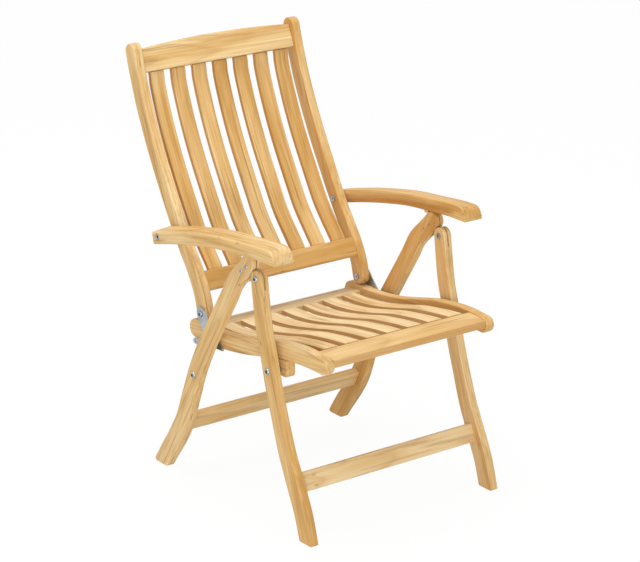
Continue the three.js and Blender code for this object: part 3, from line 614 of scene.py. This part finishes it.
def lay_grain(thing, along, measure):
    """Stores each point's place in the plank, in metres along the grain, across it and through
    it from a pith outside the board. measure gives the board that a point is on, where a piece
    has several, and its place in that board."""
    starts, places = {}, []
    for vertex in thing.data.vertices:
        one, local = measure(vertex.co)
        if one not in starts:
            starts[one] = (next(board_numbers) * PLANK_STEP, plank_draw.uniform(-0.025, 0.035),
                           plank_draw.choice((-1, 1)) * plank_draw.uniform(0.045, 0.11))
        places += [start + part for start, part in zip(starts[one], local)]
    mark(thing.data, "plank_place", places, "FLOAT_VECTOR", "vector")
    mark(thing.data, "cut_across",
         [abs(vertex.normal.dot(along)) for vertex in thing.data.vertices])


def fit(thing, body, nodes, material):
    """Gives a finished piece its material and its place among the solids, and draws in the few
    points of rounded ends that pass the solids' own box."""
    lows, highs = zip(*(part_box(node) for node in nodes))
    low, high = [min(ends) for ends in zip(*lows)], [max(ends) for ends in zip(*highs)]
    for vertex in thing.data.vertices:
        for axis in range(3):
            vertex.co[axis] = min(max(vertex.co[axis], low[axis]), high[axis])
    thing.data.materials.clear()
    thing.data.materials.append(material)
    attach(thing, body)
    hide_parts(*nodes)


def fit_teak(thing, body, nodes, along, through=ACROSS, measure=None):
    smooth(thing)
    lay_grain(thing, along, measure or straight_grain(thing, along, through))
    # each board's listed shift: partly its own tone, partly painted light and shade
    mark(thing.data, "board_tone", [BOARD_TONES_AND_LIGHT.get(thing.name, 0.0)] * len(thing.data.vertices))
    fit(thing, body, nodes, TEAK)


def fit_steel(thing, body, nodes, sharp=36):
    smooth(thing, sharp)
    fit(thing, body, nodes, STEEL)


def make_side_board(solid, body, outline, layer, side, run, bolts=(), screws=(), slots=(),
                    oil=0.0, radius=BOARD_ROUND, name=None):
    """A board cut in the side view. Its face that looks inwards is painted deeper by the
    given share, as painted shade."""
    place = side_view(side)
    made = board("teak_" + (name or solid), outline, *layer, place, radius)
    carved(made, [*slots, *holes(place, *layer, bolts, screws)])
    fit_teak(made, body, [solid], in_frame(run))
    # painted shade on the face that looks inwards
    paint_shade(made, lambda spot: oil if abs(spot.x) < (layer[0] + 0.5) * MM else 0.0)


def make_cross_board(name, body, outline, reach, radius, through):
    """A board from side to side whose long edges are rounded and whose ends butt square. A board
    is called a rail among the solids."""
    def lengthways(edge):
        span = edge.verts[1].co - edge.verts[0].co
        return abs(span.x) > 0.9 * span.length

    made = board("teak_" + name, outline, -reach, reach, side_view(1), radius, lengthways)
    fit_teak(made, body, [name.replace("board", "rail")], ACROSS, in_frame(through))
    return made


# ---------------------------------------------------------------- legs

def slot_tool(corner, along, length, depth, place):
    side = left_of(along) * depth
    outline = [corner, corner + along * length, corner + along * length + side, corner + side]
    half = SLOT_WIDTH / 2
    return board("slot", outline, SLOT_MIDDLE - half, SLOT_MIDDLE + half, place, 0)


def standing(outline, toe_side, toe, heel):
    """Cuts a leg's outline off at the floor and rounds its toe and its heel, in mm.
    toe_side is 1 where the toe points back and -1 where it points forward."""
    def on_floor(point):
        return abs(point[1]) < 1e-6

    cut = []
    for here, after in zip(outline, outline[1:] + outline[:1]):
        if here[1] > 0:
            cut.append(here)
        if (here[1] > 0) != (after[1] > 0):
            cut.append(here + (after - here) * (here[1] / (here[1] - after[1])))
    corners = sorted(filter(on_floor, cut), key=lambda point: -point[0] * toe_side)
    for corner, reach in zip(corners, (toe, heel)):
        cut = [point for point in cut if on_floor(point) or (point - corner).length > reach * 1.1]
        index = next(i for i, point in enumerate(cut) if point is corner)
        cut[index:index + 1] = soft_corner(
            cut[index - 1], corner, cut[(index + 1) % len(cut)], reach, 5)
    return cut


def make_front_leg(hand, side):
    place = side_view(side)
    points = front_leg_line.points
    foot = past(points[-1], points[-2], FRONT_LEG_WIDTHS[-1])
    outline = standing(ribbon(Line([*points, foot]), FRONT_LEG_WIDTHS, 66, True),
                       toe_side=-1, toe=4.5, heel=3.5)
    # The plate stands upright in its slot when the chair is open, and leans over when folded
    wide = FRONT_LEG_WIDTHS[0]
    slot_floor = APEX + Vector((wide, -PLATE_ROUND - PLATE_TAIL))
    along = toward(math.radians(PLATE_SCREW_PLACES[1][0] - FOLD_ANGLE))
    folded = APEX - along * PLATE_TAIL - left_of(along) * (PLATE_ROUND + SLOT_GAP)
    slots = (slot_tool(slot_floor, Vector((0, 1)), 2 * wide, 2 * wide, place),
             slot_tool(folded, along, 2 * wide, wide, place))
    make_side_board("front_leg_" + hand, "front_legs", outline, LEG, side,
                    Vector((FRONT_FOOT_Y, 0)) - APEX, (APEX, seat_pivot), slots=slots, oil=0.52)


def make_rear_leg(hand, side):
    points = rear_leg_line.points
    foot = past(points[0], points[1], REAR_LEG_WIDTHS[0])
    outline = standing(ribbon(Line([foot, *points]), REAR_LEG_WIDTHS, 66, False, True),
                       toe_side=1, toe=17.0, heel=5.0)
    along = (rear_leg_end - plate_screws[1]).normalized()
    behind = plate_screws[1] - left_of(along) * (PLATE_TAIL + SLOT_GAP)
    corner = behind - along * (PLATE_TAIL + SLOT_GAP * 2)
    wide = REAR_LEG_WIDTHS[-1]
    slots = (slot_tool(corner, along, 3 * wide, 2 * wide, side_view(side)),)
    make_side_board("rear_leg_" + hand, "rear_legs", outline, LEG, side,
                    rear_leg_end - Vector((REAR_FOOT_Y, 0)), (link_pivot,), plate_screws,
                    slots=slots, oil=0.36)


def make_stretcher(name, body, line, lean, setback):
    up, back = leaning(lean)
    centre = line.crossing(HEIGHT, STRETCHER_HEIGHT) + back * setback
    outline = block_outline(centre, up, back, STRETCHER_HIGH, STRETCHER_THICK)
    make_cross_board(name, body, outline, INSIDE_LEGS, radius=2.6, through=back)


# ---------------------------------------------------------------- seat

def make_seat_rail(hand, side):
    outline = ribbon(rail_line, RAIL_WIDTHS, 60, True, True)
    make_side_board("seat_rail_" + hand, "seat", outline, RAIL, side, (-1, 0.1), oil=0.56)


def make_pivot_block(hand, side):
    half, drop, soft = 28.0, 16.0, 8.0
    middle, bottom = seat_pivot[0], seat_pivot[1] - drop
    outline = [Vector((y, bottom + soft)) + toward(math.radians(start + 15 * step)) * soft
               for y, start in ((middle - half + soft, 180), (middle + half - soft, 270))
               for step in range(7)]
    # The top follows the underside of the rail, the second half of its outline read backwards
    rail_underside = Line(ribbon(rail_line, RAIL_WIDTHS, 18)[:18:-1])
    outline += [rail_underside.crossing(DEPTH, middle + half * share)
                - Vector((0, 2 * SEAT_GAP)) for share in (1, 0.5, 0, -0.5, -1)]
    make_side_board("seat_pivot_block_" + hand, "seat", outline, RAIL, side, (1, 0),
                    (seat_pivot,), radius=1.6, name="pivot_block_" + hand)


def make_seat_front_board():
    thick, drop = 19.0, 2.5
    lift = RAIL_WIDTHS[-1] / 2 - thick / 2 - drop
    spine = Line([(y, rail_height(y) + lift - lower) for y, lower in (
        (front_board_rear_y, 0), ((front_board_rear_y + front_nose_y) / 2, 0),
        (front_nose_y, drop))])
    made = make_cross_board("seat_front_board", "seat", ribbon(spine, (thick, thick), 10),
                            INSIDE_RAILS, radius=2.4, through=(0, 1))
    # painted shade: the front face of the board is painted deeper than its top
    front = (front_nose_y + FRAME_SHIFT + 1.0) * MM
    paint_shade(made, lambda spot: 0.55 if spot.y < front else 0.0)


def make_seat_rear_board():
    thick, drop = 20.0, 1.5
    height = rail_height(rear_board_front_y)
    spine = Line([(REAR_BOARD_Y - thick / 2, height - drop), (rear_board_front_y, height + drop)])
    make_cross_board("seat_rear_board", "seat", ribbon(spine, (thick, thick), 6, True),
                     INSIDE_RAILS, radius=1.4, through=(0, 1))


def row_tree(name, inputs):
    """A geometry nodes tree with named inputs, what adds its nodes, and what it is given."""
    tree = bpy.data.node_groups.new(name, "GeometryNodeTree")
    tree.interface.new_socket("Geometry", in_out="OUTPUT", socket_type="NodeSocketGeometry")
    for kind, names in inputs.items():
        for one in names:
            tree.interface.new_socket(one, in_out="INPUT", socket_type="NodeSocket" + kind)
    add = adding(tree)
    return tree, add, add("NodeGroupInput").outputs


def set_out(add, links, material):
    """Ends a tree: its piece on every place, made real and given its material."""
    real = add("GeometryNodeRealizeInstances", [add("GeometryNodeInstanceOnPoints", links)])
    finished = add("GeometryNodeSetMaterial", {"Geometry": real, "Material": material})
    add("NodeGroupOutput", [finished])


def slat_tree():
    """Geometry nodes for slats: a rounded bar swept along the path and set out in a row."""
    tree, add, given = row_tree("row_of_slats", {
        "Geometry": ["Path"], "Int": ["Number of slats"], "Material": ["Wood"],
        "Float": ["Slat width", "Slat thickness", "Edge radius", "Pitch"]})
    path = add("GeometryNodeMeshToCurve", {"Mesh": given["Path"]})
    level = add("GeometryNodeSetCurveNormal", {"Curve": path}, mode="Z_UP")
    bar = add("GeometryNodeCurvePrimitiveQuadrilateral",
              {"Width": given["Slat width"], "Height": given["Slat thickness"]})
    rounded = add("GeometryNodeFilletCurve", {
        "Curve": bar, "Count": 3, "Radius": given["Edge radius"]}, mode="POLY")
    slat = add("GeometryNodeCurveToMesh", {
        "Curve": level, "Profile Curve": rounded, "Fill Caps": True})
    gaps = add("ShaderNodeMath", [given["Number of slats"], -1.0], operation="ADD")
    reach = add("ShaderNodeMath", [gaps, given["Pitch"]], operation="MULTIPLY")
    first = add("ShaderNodeMath", [reach, -0.5], operation="MULTIPLY")
    start = add("ShaderNodeCombineXYZ", [first])
    step = add("ShaderNodeCombineXYZ", [given["Pitch"]])
    places = add("GeometryNodeMeshLine", {
        "Count": given["Number of slats"], "Start Location": start, "Offset": step},
        mode="OFFSET")
    set_out(add, {"Points": places, "Instance": slat}, given["Wood"])
    return tree


def make_slats(name, body, stem, path, width, pitch, along):
    mesh = bpy.data.meshes.new(name)
    mesh.from_pydata([side_view(1)(point, 0) for point in path],
                     [(step, step + 1) for step in range(len(path) - 1)], [])
    slats = grown(name, mesh, SLAT_TREE, {
        "Slat width": width * MM, "Slat thickness": SLAT_THICK * MM, "Pitch": pitch * MM,
        "Edge radius": SLAT_ROUND * MM, "Number of slats": SLAT_COUNT, "Wood": TEAK})
    on_path = bent_along(path)
    wall = (width / 2 - 0.1) * MM

    def slat_middle(spot):
        return round(spot.x / (pitch * MM)) * pitch * MM

    def measure(spot):
        reach, depth = on_path(spot)
        return slat_middle(spot), (reach, spot.x - slat_middle(spot), depth)

    fit_teak(slats, body, [f"{stem}_{index}" for index in range(1, SLAT_COUNT + 1)],
             in_frame(along), measure=measure)
    # painted shade: the side walls of the slats, in the gaps between them, are painted deeper
    paint_shade(slats, lambda spot: float(abs(spot.x - slat_middle(spot)) > wall))


def seat_slat_path():
    rear, front = rear_board_front_y - SEAT_GAP, front_board_rear_y + SEAT_GAP
    knots = []
    for step in range(10):
        y = rear + (front - rear) * step / 9
        rise = max(0.0, step / 3 - 2)
        knots.append((y, rail_height(y) + 6 + 6 * rise * rise))
    line = Line(knots)
    return [line.spot(step / 34) for step in range(35)]


# ---------------------------------------------------------------- back

LOW_SHARE, TOP_SHARE = 0.112, 0.96
BOTTOM_BOARD_HIGH, TOP_BOARD_HIGH, BACK_BOARD_THICK = 48, 57.5, 22
TOP_UP, TOP_BACK = leaning(22.5)
LOW_UP, LOW_BACK = leaning(30)
TOP_CENTRE = stile_line.spot(TOP_SHARE)
LOW_CENTRE = stile_line.spot(LOW_SHARE) - LOW_BACK * 6


def back_slat_path():
    low = LOW_CENTRE + LOW_UP * (BOTTOM_BOARD_HIGH / 2 + SEAT_GAP)
    high = TOP_CENTRE - TOP_UP * (TOP_BOARD_HIGH / 2 + SEAT_GAP)
    knots = [low, low + LOW_UP * 6]
    for step in range(2, 9):
        place = LOW_SHARE + (TOP_SHARE - LOW_SHARE) * step / 9
        bow = 6 * math.sin(math.pi * step / 9)
        knots.append(stile_line.spot(place) - left_of(stile_line.heading(place)) * bow)
    line = Line(knots + [high - TOP_UP * 6, high])
    return [line.spot(step / 40) for step in range(41)]


def make_stile(hand, side):
    outline = ribbon(stile_line, STILE_WIDTHS, 64, True, True)
    make_side_board("back_stile_" + hand, "back", outline, RAIL, side, (0.42, 1),
                    (back_pivot, arm_pivot), oil=0.46)


def make_top_board():
    half, high, arch = INSIDE_RAILS, TOP_BOARD_HIGH / 2, 9.5
    shares = [1 - 2 * step / 32 for step in range(33)]
    outline = [(-half, -high), (half, -high)] + [
        (half * share, high + arch * (1 - share * share)) for share in shares]

    def place(point, depth):
        return side_view(1)(TOP_CENTRE + TOP_UP * point[1] + TOP_BACK * depth, point[0])

    made = board("teak_back_top_board", outline, -BACK_BOARD_THICK / 2, BACK_BOARD_THICK / 2,
                 place, 2.6)
    fit_teak(made, "back", ["back_top_rail"], ACROSS, in_frame(TOP_BACK))


def make_bottom_board():
    outline = block_outline(LOW_CENTRE, LOW_UP, LOW_BACK, BOTTOM_BOARD_HIGH, BACK_BOARD_THICK)
    make_cross_board("back_bottom_board", "back", outline, INSIDE_RAILS, radius=4.2,
                     through=LOW_BACK)


# ---------------------------------------------------------------- arms

ARM_GRAIN = [arm_line.point(step / 30) + Vector((0, ARM_THICK / 2)) for step in range(31)]


def rounded_section(corners, radius):
    """A closed outline with every corner rounded over; the count of points stays the same."""
    corners = [Vector(corner) for corner in corners]
    points = []
    for index, corner in enumerate(corners):
        before, after = corners[index - 1], corners[(index + 1) % len(corners)]
        reach = min(radius, (before - corner).length * 0.45, (after - corner).length * 0.45)
        points += soft_corner(before, corner, after, reach, 3)
    return points


def arm_stations():
    """Places along the arm with its height there and how far its outline is drawn in."""
    length = arm_line.reach[-1]
    nose_start = length - ARM_NOSE
    stations = [(0.0, ARM_THICK, 2.4), (0.7, ARM_THICK, 0.75), (2.4, ARM_THICK, 0.0)]
    stations += [(2.4 + (nose_start - 2.4) * step / 46, ARM_THICK, 0.0) for step in range(1, 47)]
    for turn in (math.pi / 2 * step / 12 for step in range(1, 13)):
        height = ARM_TIP_HEIGHT + (ARM_THICK - ARM_TIP_HEIGHT) * math.cos(turn)
        stations.append((nose_start + (ARM_NOSE - 0.8) * math.sin(turn), height, 0.0))
    stations.append((length, ARM_TIP_HEIGHT * 0.86, 0.8))
    return [(place / length, height, inset) for place, height, inset in stations]


def make_arm(hand, side):
    """An armrest, hollowed along the lower part of its inner side, less and less to the nose."""
    place = side_view(side)
    lip, hollow, slope, shaded = 6.0, 12.0, 17.0, 24.5
    nose_y, rear_y = arm_line.point(0.9)[0], arm_line.point(0)[0]
    rows = []
    for share, height, inset in arm_stations():
        spot = arm_line.spot(share)
        up = -left_of(arm_line.heading(share))
        fade = min(1.0, max(0.012, (spot[0] - nose_y) / (rear_y - nose_y)) / 0.45) ** 0.6
        scale = height / ARM_THICK
        wall = ARM_INNER + hollow * fade + inset
        section = rounded_section([
            (ARM_OUTER - inset, inset), (ARM_OUTER - inset, height - inset),
            (ARM_INNER + inset, height + ARM_TILT * scale - inset),
            (ARM_INNER + inset, (ARM_THICK - lip) * scale + inset * 0.4),
            (wall, (ARM_THICK - lip - slope * fade) * scale), (wall, inset)],
            BOARD_ROUND * (1 if height > 12 else 0.4))
        rows.append([place(spot + up * high, across) for across, high in section])
    arm = as_object("teak_arm_" + hand, closed_shape(rows))
    sink_floor = ARM_OUTER - BOLT_HEAD_THICK - TURN_GAP
    carved(arm, holes(place, *ARM, [arm_pivot]) + holes(
        place, sink_floor + CUT_OVERRUN, ARM_OUTER, others=[(arm_pivot, BOLT_HEAD + TURN_GAP)]))

    on_line = bent_along(ARM_GRAIN)
    middle = side * (ARM_INNER + ARM_OUTER) / 2 * MM

    def measure(spot):
        return 0, (*on_line(spot), spot.x - middle)

    # painted shade: the hollow under the arm's inner lip is painted deeper
    def in_hollow(spot):
        depth = (abs(spot.x) / MM - ARM_INNER - 1.5) / hollow
        height = spot.z / MM - arm_line.crossing(DEPTH, spot.y / MM - FRAME_SHIFT)[1]
        return float(min(1.0, depth * 3.0) if 0 < depth <= 1.05 and height < shaded else 0.0)

    fit_teak(arm, "arm_" + hand, ["armrest_" + hand], in_frame((-1, 0.12)), measure=measure)
    paint_shade(arm, in_hollow)


def make_arm_catch(hand, side):
    reach = REAR_LEG_WIDTHS[-1] / 2 + 1.5
    drop, length = 9.0, 11.0
    front = rear_leg_end[0] + math.sqrt(reach * reach - (reach - drop) ** 2)
    bottom = rest_point[1] - drop
    outline = [Vector(spot) for spot in (
        (front, bottom + drop / 3), (front + drop / 3, bottom), (front + length, bottom))]
    outline += [Vector((y, arm_line.crossing(DEPTH, y)[1] - 0.36))
                for y in (front + length, front)]
    make_side_board("arm_catch_" + hand, "arm_" + hand, outline,
                    (LEG_INNER + 3, LEG_OUTER - 3), side, (-1, 0), radius=1.2)


# ---------------------------------------------------------------- steel fittings

def make_plate(solid, body, outline, near, side, bolts, screws=(), others=(), edge=PLATE_EDGE,
               rivets=()):
    """A flat steel plate with holes for its pins and with the rivets that stay in it."""
    place, layer = side_view(side), (near, near + PLATE_THICK)
    plate = board("steel_" + solid, outline, *layer, place, edge)
    carved(plate, holes(place, *layer, bolts, screws, others))
    carved(plate, rivets, "UNION")
    fit_steel(plate, body, [solid])


def make_apex_plate(hand, side):
    discs = ring(APEX, PLATE_ROUND, 48) + [
        point for screw in plate_screws for point in ring(screw, PLATE_TAIL, 40)]
    outline = [discs[index] for index in convex_hull_2d(discs)]
    make_plate("apex_plate_" + hand, "rear_legs", outline, SLOT_MIDDLE - PLATE_THICK / 2, side,
               [APEX], plate_screws)


def on_bracket(shares):
    return stretched(shares, bracket_corner, BRACKET_LONG, BRACKET_HIGH)


def make_back_bracket(hand, side):
    knots = on_bracket(BRACKET_SHARES)
    around = zip(knots[-1:] + knots, knots, knots[1:] + knots[:1], knots[2:] + knots[:2])
    outline = [curve_between(*four, step / 4, 4) for four in around for step in range(4)]
    make_plate("back_bracket_" + hand, "seat", outline, BRACKET_INNER, side, [back_pivot],
               on_bracket(BRACKET_SCREWS), [(*on_bracket([BRACKET_HOLE]), BRACKET_HOLE_RADIUS)])


def make_fold_link(hand, side):
    outline = ribbon(Line([link_pivot, link_pin]), (LINK_WIDTH, LINK_WIDTH), 4, True, True)
    rivet = board("rivet", ring(link_pin, BOLT_RADIUS), BRACKET_INNER + PLATE_THICK + SEAT_GAP,
                  LINK_INNER + PLATE_THICK + 1.0, side_view(side), 0.4)
    make_plate("fold_link_" + hand, "link_" + hand, outline, LINK_INNER, side, [link_pivot],
               edge=0.6, rivets=[rivet])


# The sums that shape a fastener: a name, how it is found, and the names or numbers it is found
# from. Only the head's upper face takes the shaped places
FASTENER_SUMS = (
    ("head middle", "MULTIPLY", "Head height", 0.5),
    ("on top", "GREATER_THAN", "z", "head middle"),
    ("share", "DIVIDE", "away", "Head radius"),
    # The crown falls away towards the rim, and its middle is sunk to the socket's floor
    ("cubed", "POWER", "share", 3.0),
    ("fall", "MULTIPLY", "cubed", "Head height"),
    ("inner", "LESS_THAN", "share", 0.42),
    ("sunk", "MULTIPLY", "inner", "Socket depth"),
    ("drop", "MULTIPLY_ADD", "fall", 0.42, "sunk"),
    ("shaped z", "SUBTRACT", "z", "drop"),
    ("socket", "MULTIPLY", "inner", "on top"),
    # The two inner rings are widened to the socket's wall, the rings near it get its
    # flat sides, and the rim is drawn in a little
    ("wide", "MULTIPLY_ADD", "inner", 0.38, 1.0),
    ("turn", "ARCTAN2", "y", "x"),
    ("half sector", "DIVIDE", math.pi, "Socket sides"),
    ("from corner", "PINGPONG", "turn", "half sector"),
    ("from flat", "SUBTRACT", "half sector", "from corner"),
    ("at corner", "COSINE", "half sector"),
    ("at this turn", "COSINE", "from flat"),
    ("facet", "DIVIDE", "at corner", "at this turn"),
    ("near socket", "LESS_THAN", "share", 0.55),
    ("faceted", "POWER", "facet", "near socket"),
    ("spread", "MULTIPLY", "wide", "faceted"),
    ("at rim", "GREATER_THAN", "share", 0.99),
    ("drawn", "MULTIPLY_ADD", "at rim", -0.1, "spread"),
    ("shaped x", "MULTIPLY", "x", "drawn"),
    ("shaped y", "MULTIPLY", "y", "drawn"),
    ("shank middle", "MULTIPLY", "Shank length", -0.5),
    ("shank and overlap", "ADD", "Shank length", 0.0002),
    # The bolt ends a little inside the nut, and the round in the middle of the nut's face is
    # painted dark as painted shade
    ("nut depth", "MULTIPLY_ADD", "Nut height", 0.5, "Shank length"),
    ("nut middle", "MULTIPLY", "nut depth", -1.0),
    ("on face", "LESS_THAN", "z", "nut middle"),
    ("bolt radius", "MULTIPLY", "Nut radius", 0.42),
    ("in bolt", "LESS_THAN", "away", "bolt radius"),
    ("bolt end", "MULTIPLY", "in bolt", "on face"),
    ("quarter turn", "MULTIPLY", "side", math.pi / 2),
)


def fastener_tree():
    """Geometry nodes for bolts and screws: a crowned head with a socket, a shank and a nut,
    set on every place and turned outwards by its side."""
    tree, add, given = row_tree("row_of_fasteners", {
        "Geometry": ["Places"], "Material": ["Metal"],
        "Float": ["Socket sides", "Shank length", *FASTENER_SIZES]})
    x, y, z = add("ShaderNodeSeparateXYZ", [add("GeometryNodeInputPosition")]).outputs
    away = add("ShaderNodeVectorMath", [add("ShaderNodeCombineXYZ", [x, y])],
               operation="LENGTH").outputs["Value"]
    side = add("GeometryNodeInputNamedAttribute", ["side"], data_type="FLOAT")
    known = {"x": x, "y": y, "z": z, "away": away, "side": side.outputs["Attribute"]}
    known.update((size.name, size) for size in given)
    for result, how, *taken in FASTENER_SUMS:
        known[result] = add("ShaderNodeMath", [known.get(one, one) for one in taken],
                            operation=how)

    parts = []
    for radius, depth, middle, rings, dark in (
            ("Head radius", "Head height", "head middle", 6, "socket"),
            ("Shank radius", "shank and overlap", "shank middle", 1, None),
            ("Nut radius", "Nut height", "nut middle", 4, "bolt end")):
        disc = add("GeometryNodeMeshCylinder", {
            "Vertices": 24, "Side Segments": 1, "Fill Segments": rings,
            "Radius": known[radius], "Depth": known[depth]}, fill_type="NGON")
        lift = add("ShaderNodeCombineXYZ", {2: known[middle]})
        part = add("GeometryNodeTransform", {"Geometry": disc, "Translation": lift})
        # the socket and the bolt end are painted dark as painted shade
        if dark:
            part = add("GeometryNodeStoreNamedAttribute", {
                "Geometry": part, "Name": "recess", "Value": known[dark]},
                data_type="FLOAT", domain="POINT")
        parts.append(part)
    shaped = add("ShaderNodeCombineXYZ", [known["shaped " + axis] for axis in "xyz"])
    parts[0] = add("GeometryNodeSetPosition", {
        "Geometry": parts[0], "Selection": known["on top"], "Position": shaped})
    joined = add("GeometryNodeJoinGeometry")
    for part in parts:
        tree.links.new(part.outputs[0], joined.inputs[0])
    turned = add("ShaderNodeCombineXYZ", {1: known["quarter turn"]})
    set_out(add, {"Points": given["Places"], "Instance": joined, "Rotation": turned},
            given["Metal"])
    return tree


# The socket's sides, then the sizes in mm that FASTENER_SIZES names
FASTENER_SIZES = ("Head radius", "Head height", "Socket depth", "Shank radius", "Nut radius",
                  "Nut height")
BOLT = (6.0, (BOLT_HEAD, BOLT_HEAD_THICK, 2.0, BOLT_RADIUS, 7.0, 3.0))
SCREW = (4.0, (SCREW_HEAD, SCREW_HEAD_THICK, 0.9, SCREW_RADIUS, 3.2, 0.2))
# Each row's name and body, the solids it stands for, its middles, the layers it spans, its kind
FASTENER_ROWS = (
    ("steel_link_bolts", "rear_legs", ["link_bolt"], [link_pivot], LINK_INNER - SEAT_GAP,
     OUTSIDE_LEGS, BOLT),
    ("steel_apex_bolts", "front_legs", ["apex_bolt"], [APEX], INSIDE_LEGS,
     OUTSIDE_LEGS, BOLT),
    ("steel_seat_pivot_bolts", "seat", ["seat_pivot_bolt"], [seat_pivot], INSIDE_RAILS,
     OUTSIDE_LEGS, BOLT),
    ("steel_back_pivot_bolts", "back", ["back_pivot_bolt"], [back_pivot], INSIDE_RAILS,
     BRACKET_INNER + PLATE_THICK + SEAT_GAP, BOLT),
    ("steel_arm_bolts", "back", ["arm_pivot_bolt"], [arm_pivot], INSIDE_RAILS,
     ARM_OUTER - BOLT_HEAD_THICK, BOLT),
    ("steel_plate_screws", "rear_legs", ["apex_plate_screw_1", "apex_plate_screw_2"],
     plate_screws, LEG_INNER + SEAT_GAP, OUTSIDE_LEGS, SCREW),
    ("steel_bracket_screws", "seat", ["bracket_screw_1", "bracket_screw_2"],
     on_bracket(BRACKET_SCREWS), BRACKET_INNER + TURN_GAP / 4,
     BRACKET_INNER + PLATE_THICK + TURN_GAP / 4, SCREW),
)


def make_fasteners(name, body, stems, middles, inner, outer, kind):
    """One row of bolts or screws on both sides of the chair, from an inner to an outer layer."""
    sockets, sizes = kind
    mesh = bpy.data.meshes.new(name)
    mesh.from_pydata([side_view(side)(middle, outer) for _, side in HANDS
                      for middle in middles], [], [])
    mark(mesh, "side", [float(side) for _, side in HANDS for _ in middles])
    row = grown(name, mesh, FASTENER_TREE, {
        "Socket sides": sockets, "Shank length": (outer - inner) * MM, "Metal": STEEL,
        **{size: value * MM for size, value in zip(FASTENER_SIZES, sizes)}})
    fit_steel(row, body, [f"{stem}_{hand}" for stem in stems for hand, _ in HANDS], 30)


# ---------------------------------------------------------------- photograph's set

def seen_directly(add):
    """1 for rays from the camera, mirrors and glass, and 0 for light that falls on the chair."""
    seen = add("ShaderNodeLightPath").outputs
    direct = 0.0
    for ray in ("Camera", "Glossy", "Transmission"):
        direct = add("ShaderNodeMath", [direct, seen[f"Is {ray} Ray"]], operation="ADD",
                     use_clamp=True)
    return direct


def studio_floor():
    """Matt paper that looks white, keeps a faint shadow, and throws back little light."""
    material = bpy.data.materials.new("white_paper_floor")
    add = emptied(material)
    direct = seen_directly(add)
    shown = add("ShaderNodeMix", {0: direct, 6: linear("#DAD6CE"), 7: linear("#FAFAFA")},
                data_type="RGBA")
    share = add("ShaderNodeMath", [direct, 0.95], operation="MULTIPLY")
    paper = add("ShaderNodeBsdfDiffuse", {"Color": shown.outputs[2]})
    white = add("ShaderNodeEmission", {"Color": (1, 1, 1, 1), "Strength": 1.0})
    mixed = add("ShaderNodeMixShader", [share, paper, white])
    add("ShaderNodeOutputMaterial", {"Surface": mixed})
    mesh = bpy.data.meshes.new("paper_floor")
    reach, under = 12.0, -0.0004
    corners = ((-reach, -reach), (reach, -reach), (reach, reach), (-reach, reach))
    mesh.from_pydata([(*corner, under) for corner in corners], [], [(0, 1, 2, 3)])
    mesh.materials.append(material)
    linked("paper_floor", mesh)


def studio_world():
    world = bpy.data.worlds.new("white_studio")
    bpy.context.scene.world = world
    add = emptied(world)
    strength = add("ShaderNodeMapRange", {
        "Value": seen_directly(add), "To Min": 0.58, "To Max": 1.0})
    sky = add("ShaderNodeBackground", {"Color": (1, 1, 1, 1), "Strength": strength})
    add("ShaderNodeOutputWorld", {"Surface": sky})


def soft_lamp(name, place, aim, size, power):
    lamp = bpy.data.lights.new(name, "AREA")
    lamp.shape, lamp.size, lamp.energy = "SQUARE", size, power
    thing = linked(name, lamp)
    thing.location = place
    thing.rotation_euler = (Vector(aim) - Vector(place)).to_track_quat("-Z", "Y").to_euler()


def camera():
    lens = bpy.data.cameras.new("photo_camera")
    lens.sensor_fit, lens.sensor_width, lens.lens = "HORIZONTAL", 36.0, 144.15
    lens.clip_end = 60.0
    thing = bpy.context.scene.camera = linked("photo_camera", lens)
    thing.location = (-3.43539, -4.64532, 2.44909)
    thing.rotation_euler = (math.radians(90 - 18.8479), 0, math.radians(-36.7725))


SLAT_TREE = slat_tree()
FASTENER_TREE = fastener_tree()

camera()
for hand, side in HANDS:
    for make in (make_front_leg, make_rear_leg, make_seat_rail, make_pivot_block, make_stile,
                 make_arm, make_arm_catch, make_apex_plate, make_back_bracket, make_fold_link):
        make(hand, side)
make_stretcher("front_stretcher", "front_legs", front_leg_line, lean=20.9, setback=6)
make_stretcher("rear_stretcher", "rear_legs", rear_leg_line, lean=-27, setback=5)
make_seat_front_board()
make_seat_rear_board()
make_slats("teak_seat_slats", "seat", "seat_slat", seat_slat_path(), width=38.5, pitch=60.5,
           along=(-1, 0.15))
make_slats("teak_back_slats", "back", "back_slat", back_slat_path(), width=38.3, pitch=61,
           along=(0.42, 1))
make_top_board()
make_bottom_board()
for row in FASTENER_ROWS:
    make_fasteners(*row)
for hand, _ in HANDS:
    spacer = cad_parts["seat_pivot_spacer_" + hand].data.materials
    spacer.clear()
    spacer.append(STEEL)

studio_floor()
studio_world()
soft_lamp("overhead_softbox", (-0.8, 0.4, 6.4), (0, 0, 0.5), size=3.4, power=236)
soft_lamp("side_softbox", (-4.4, -5.9, 1.1), (0, 0, 0.3), size=3.0, power=248)
bpy.context.scene.view_settings.view_transform = "Standard"
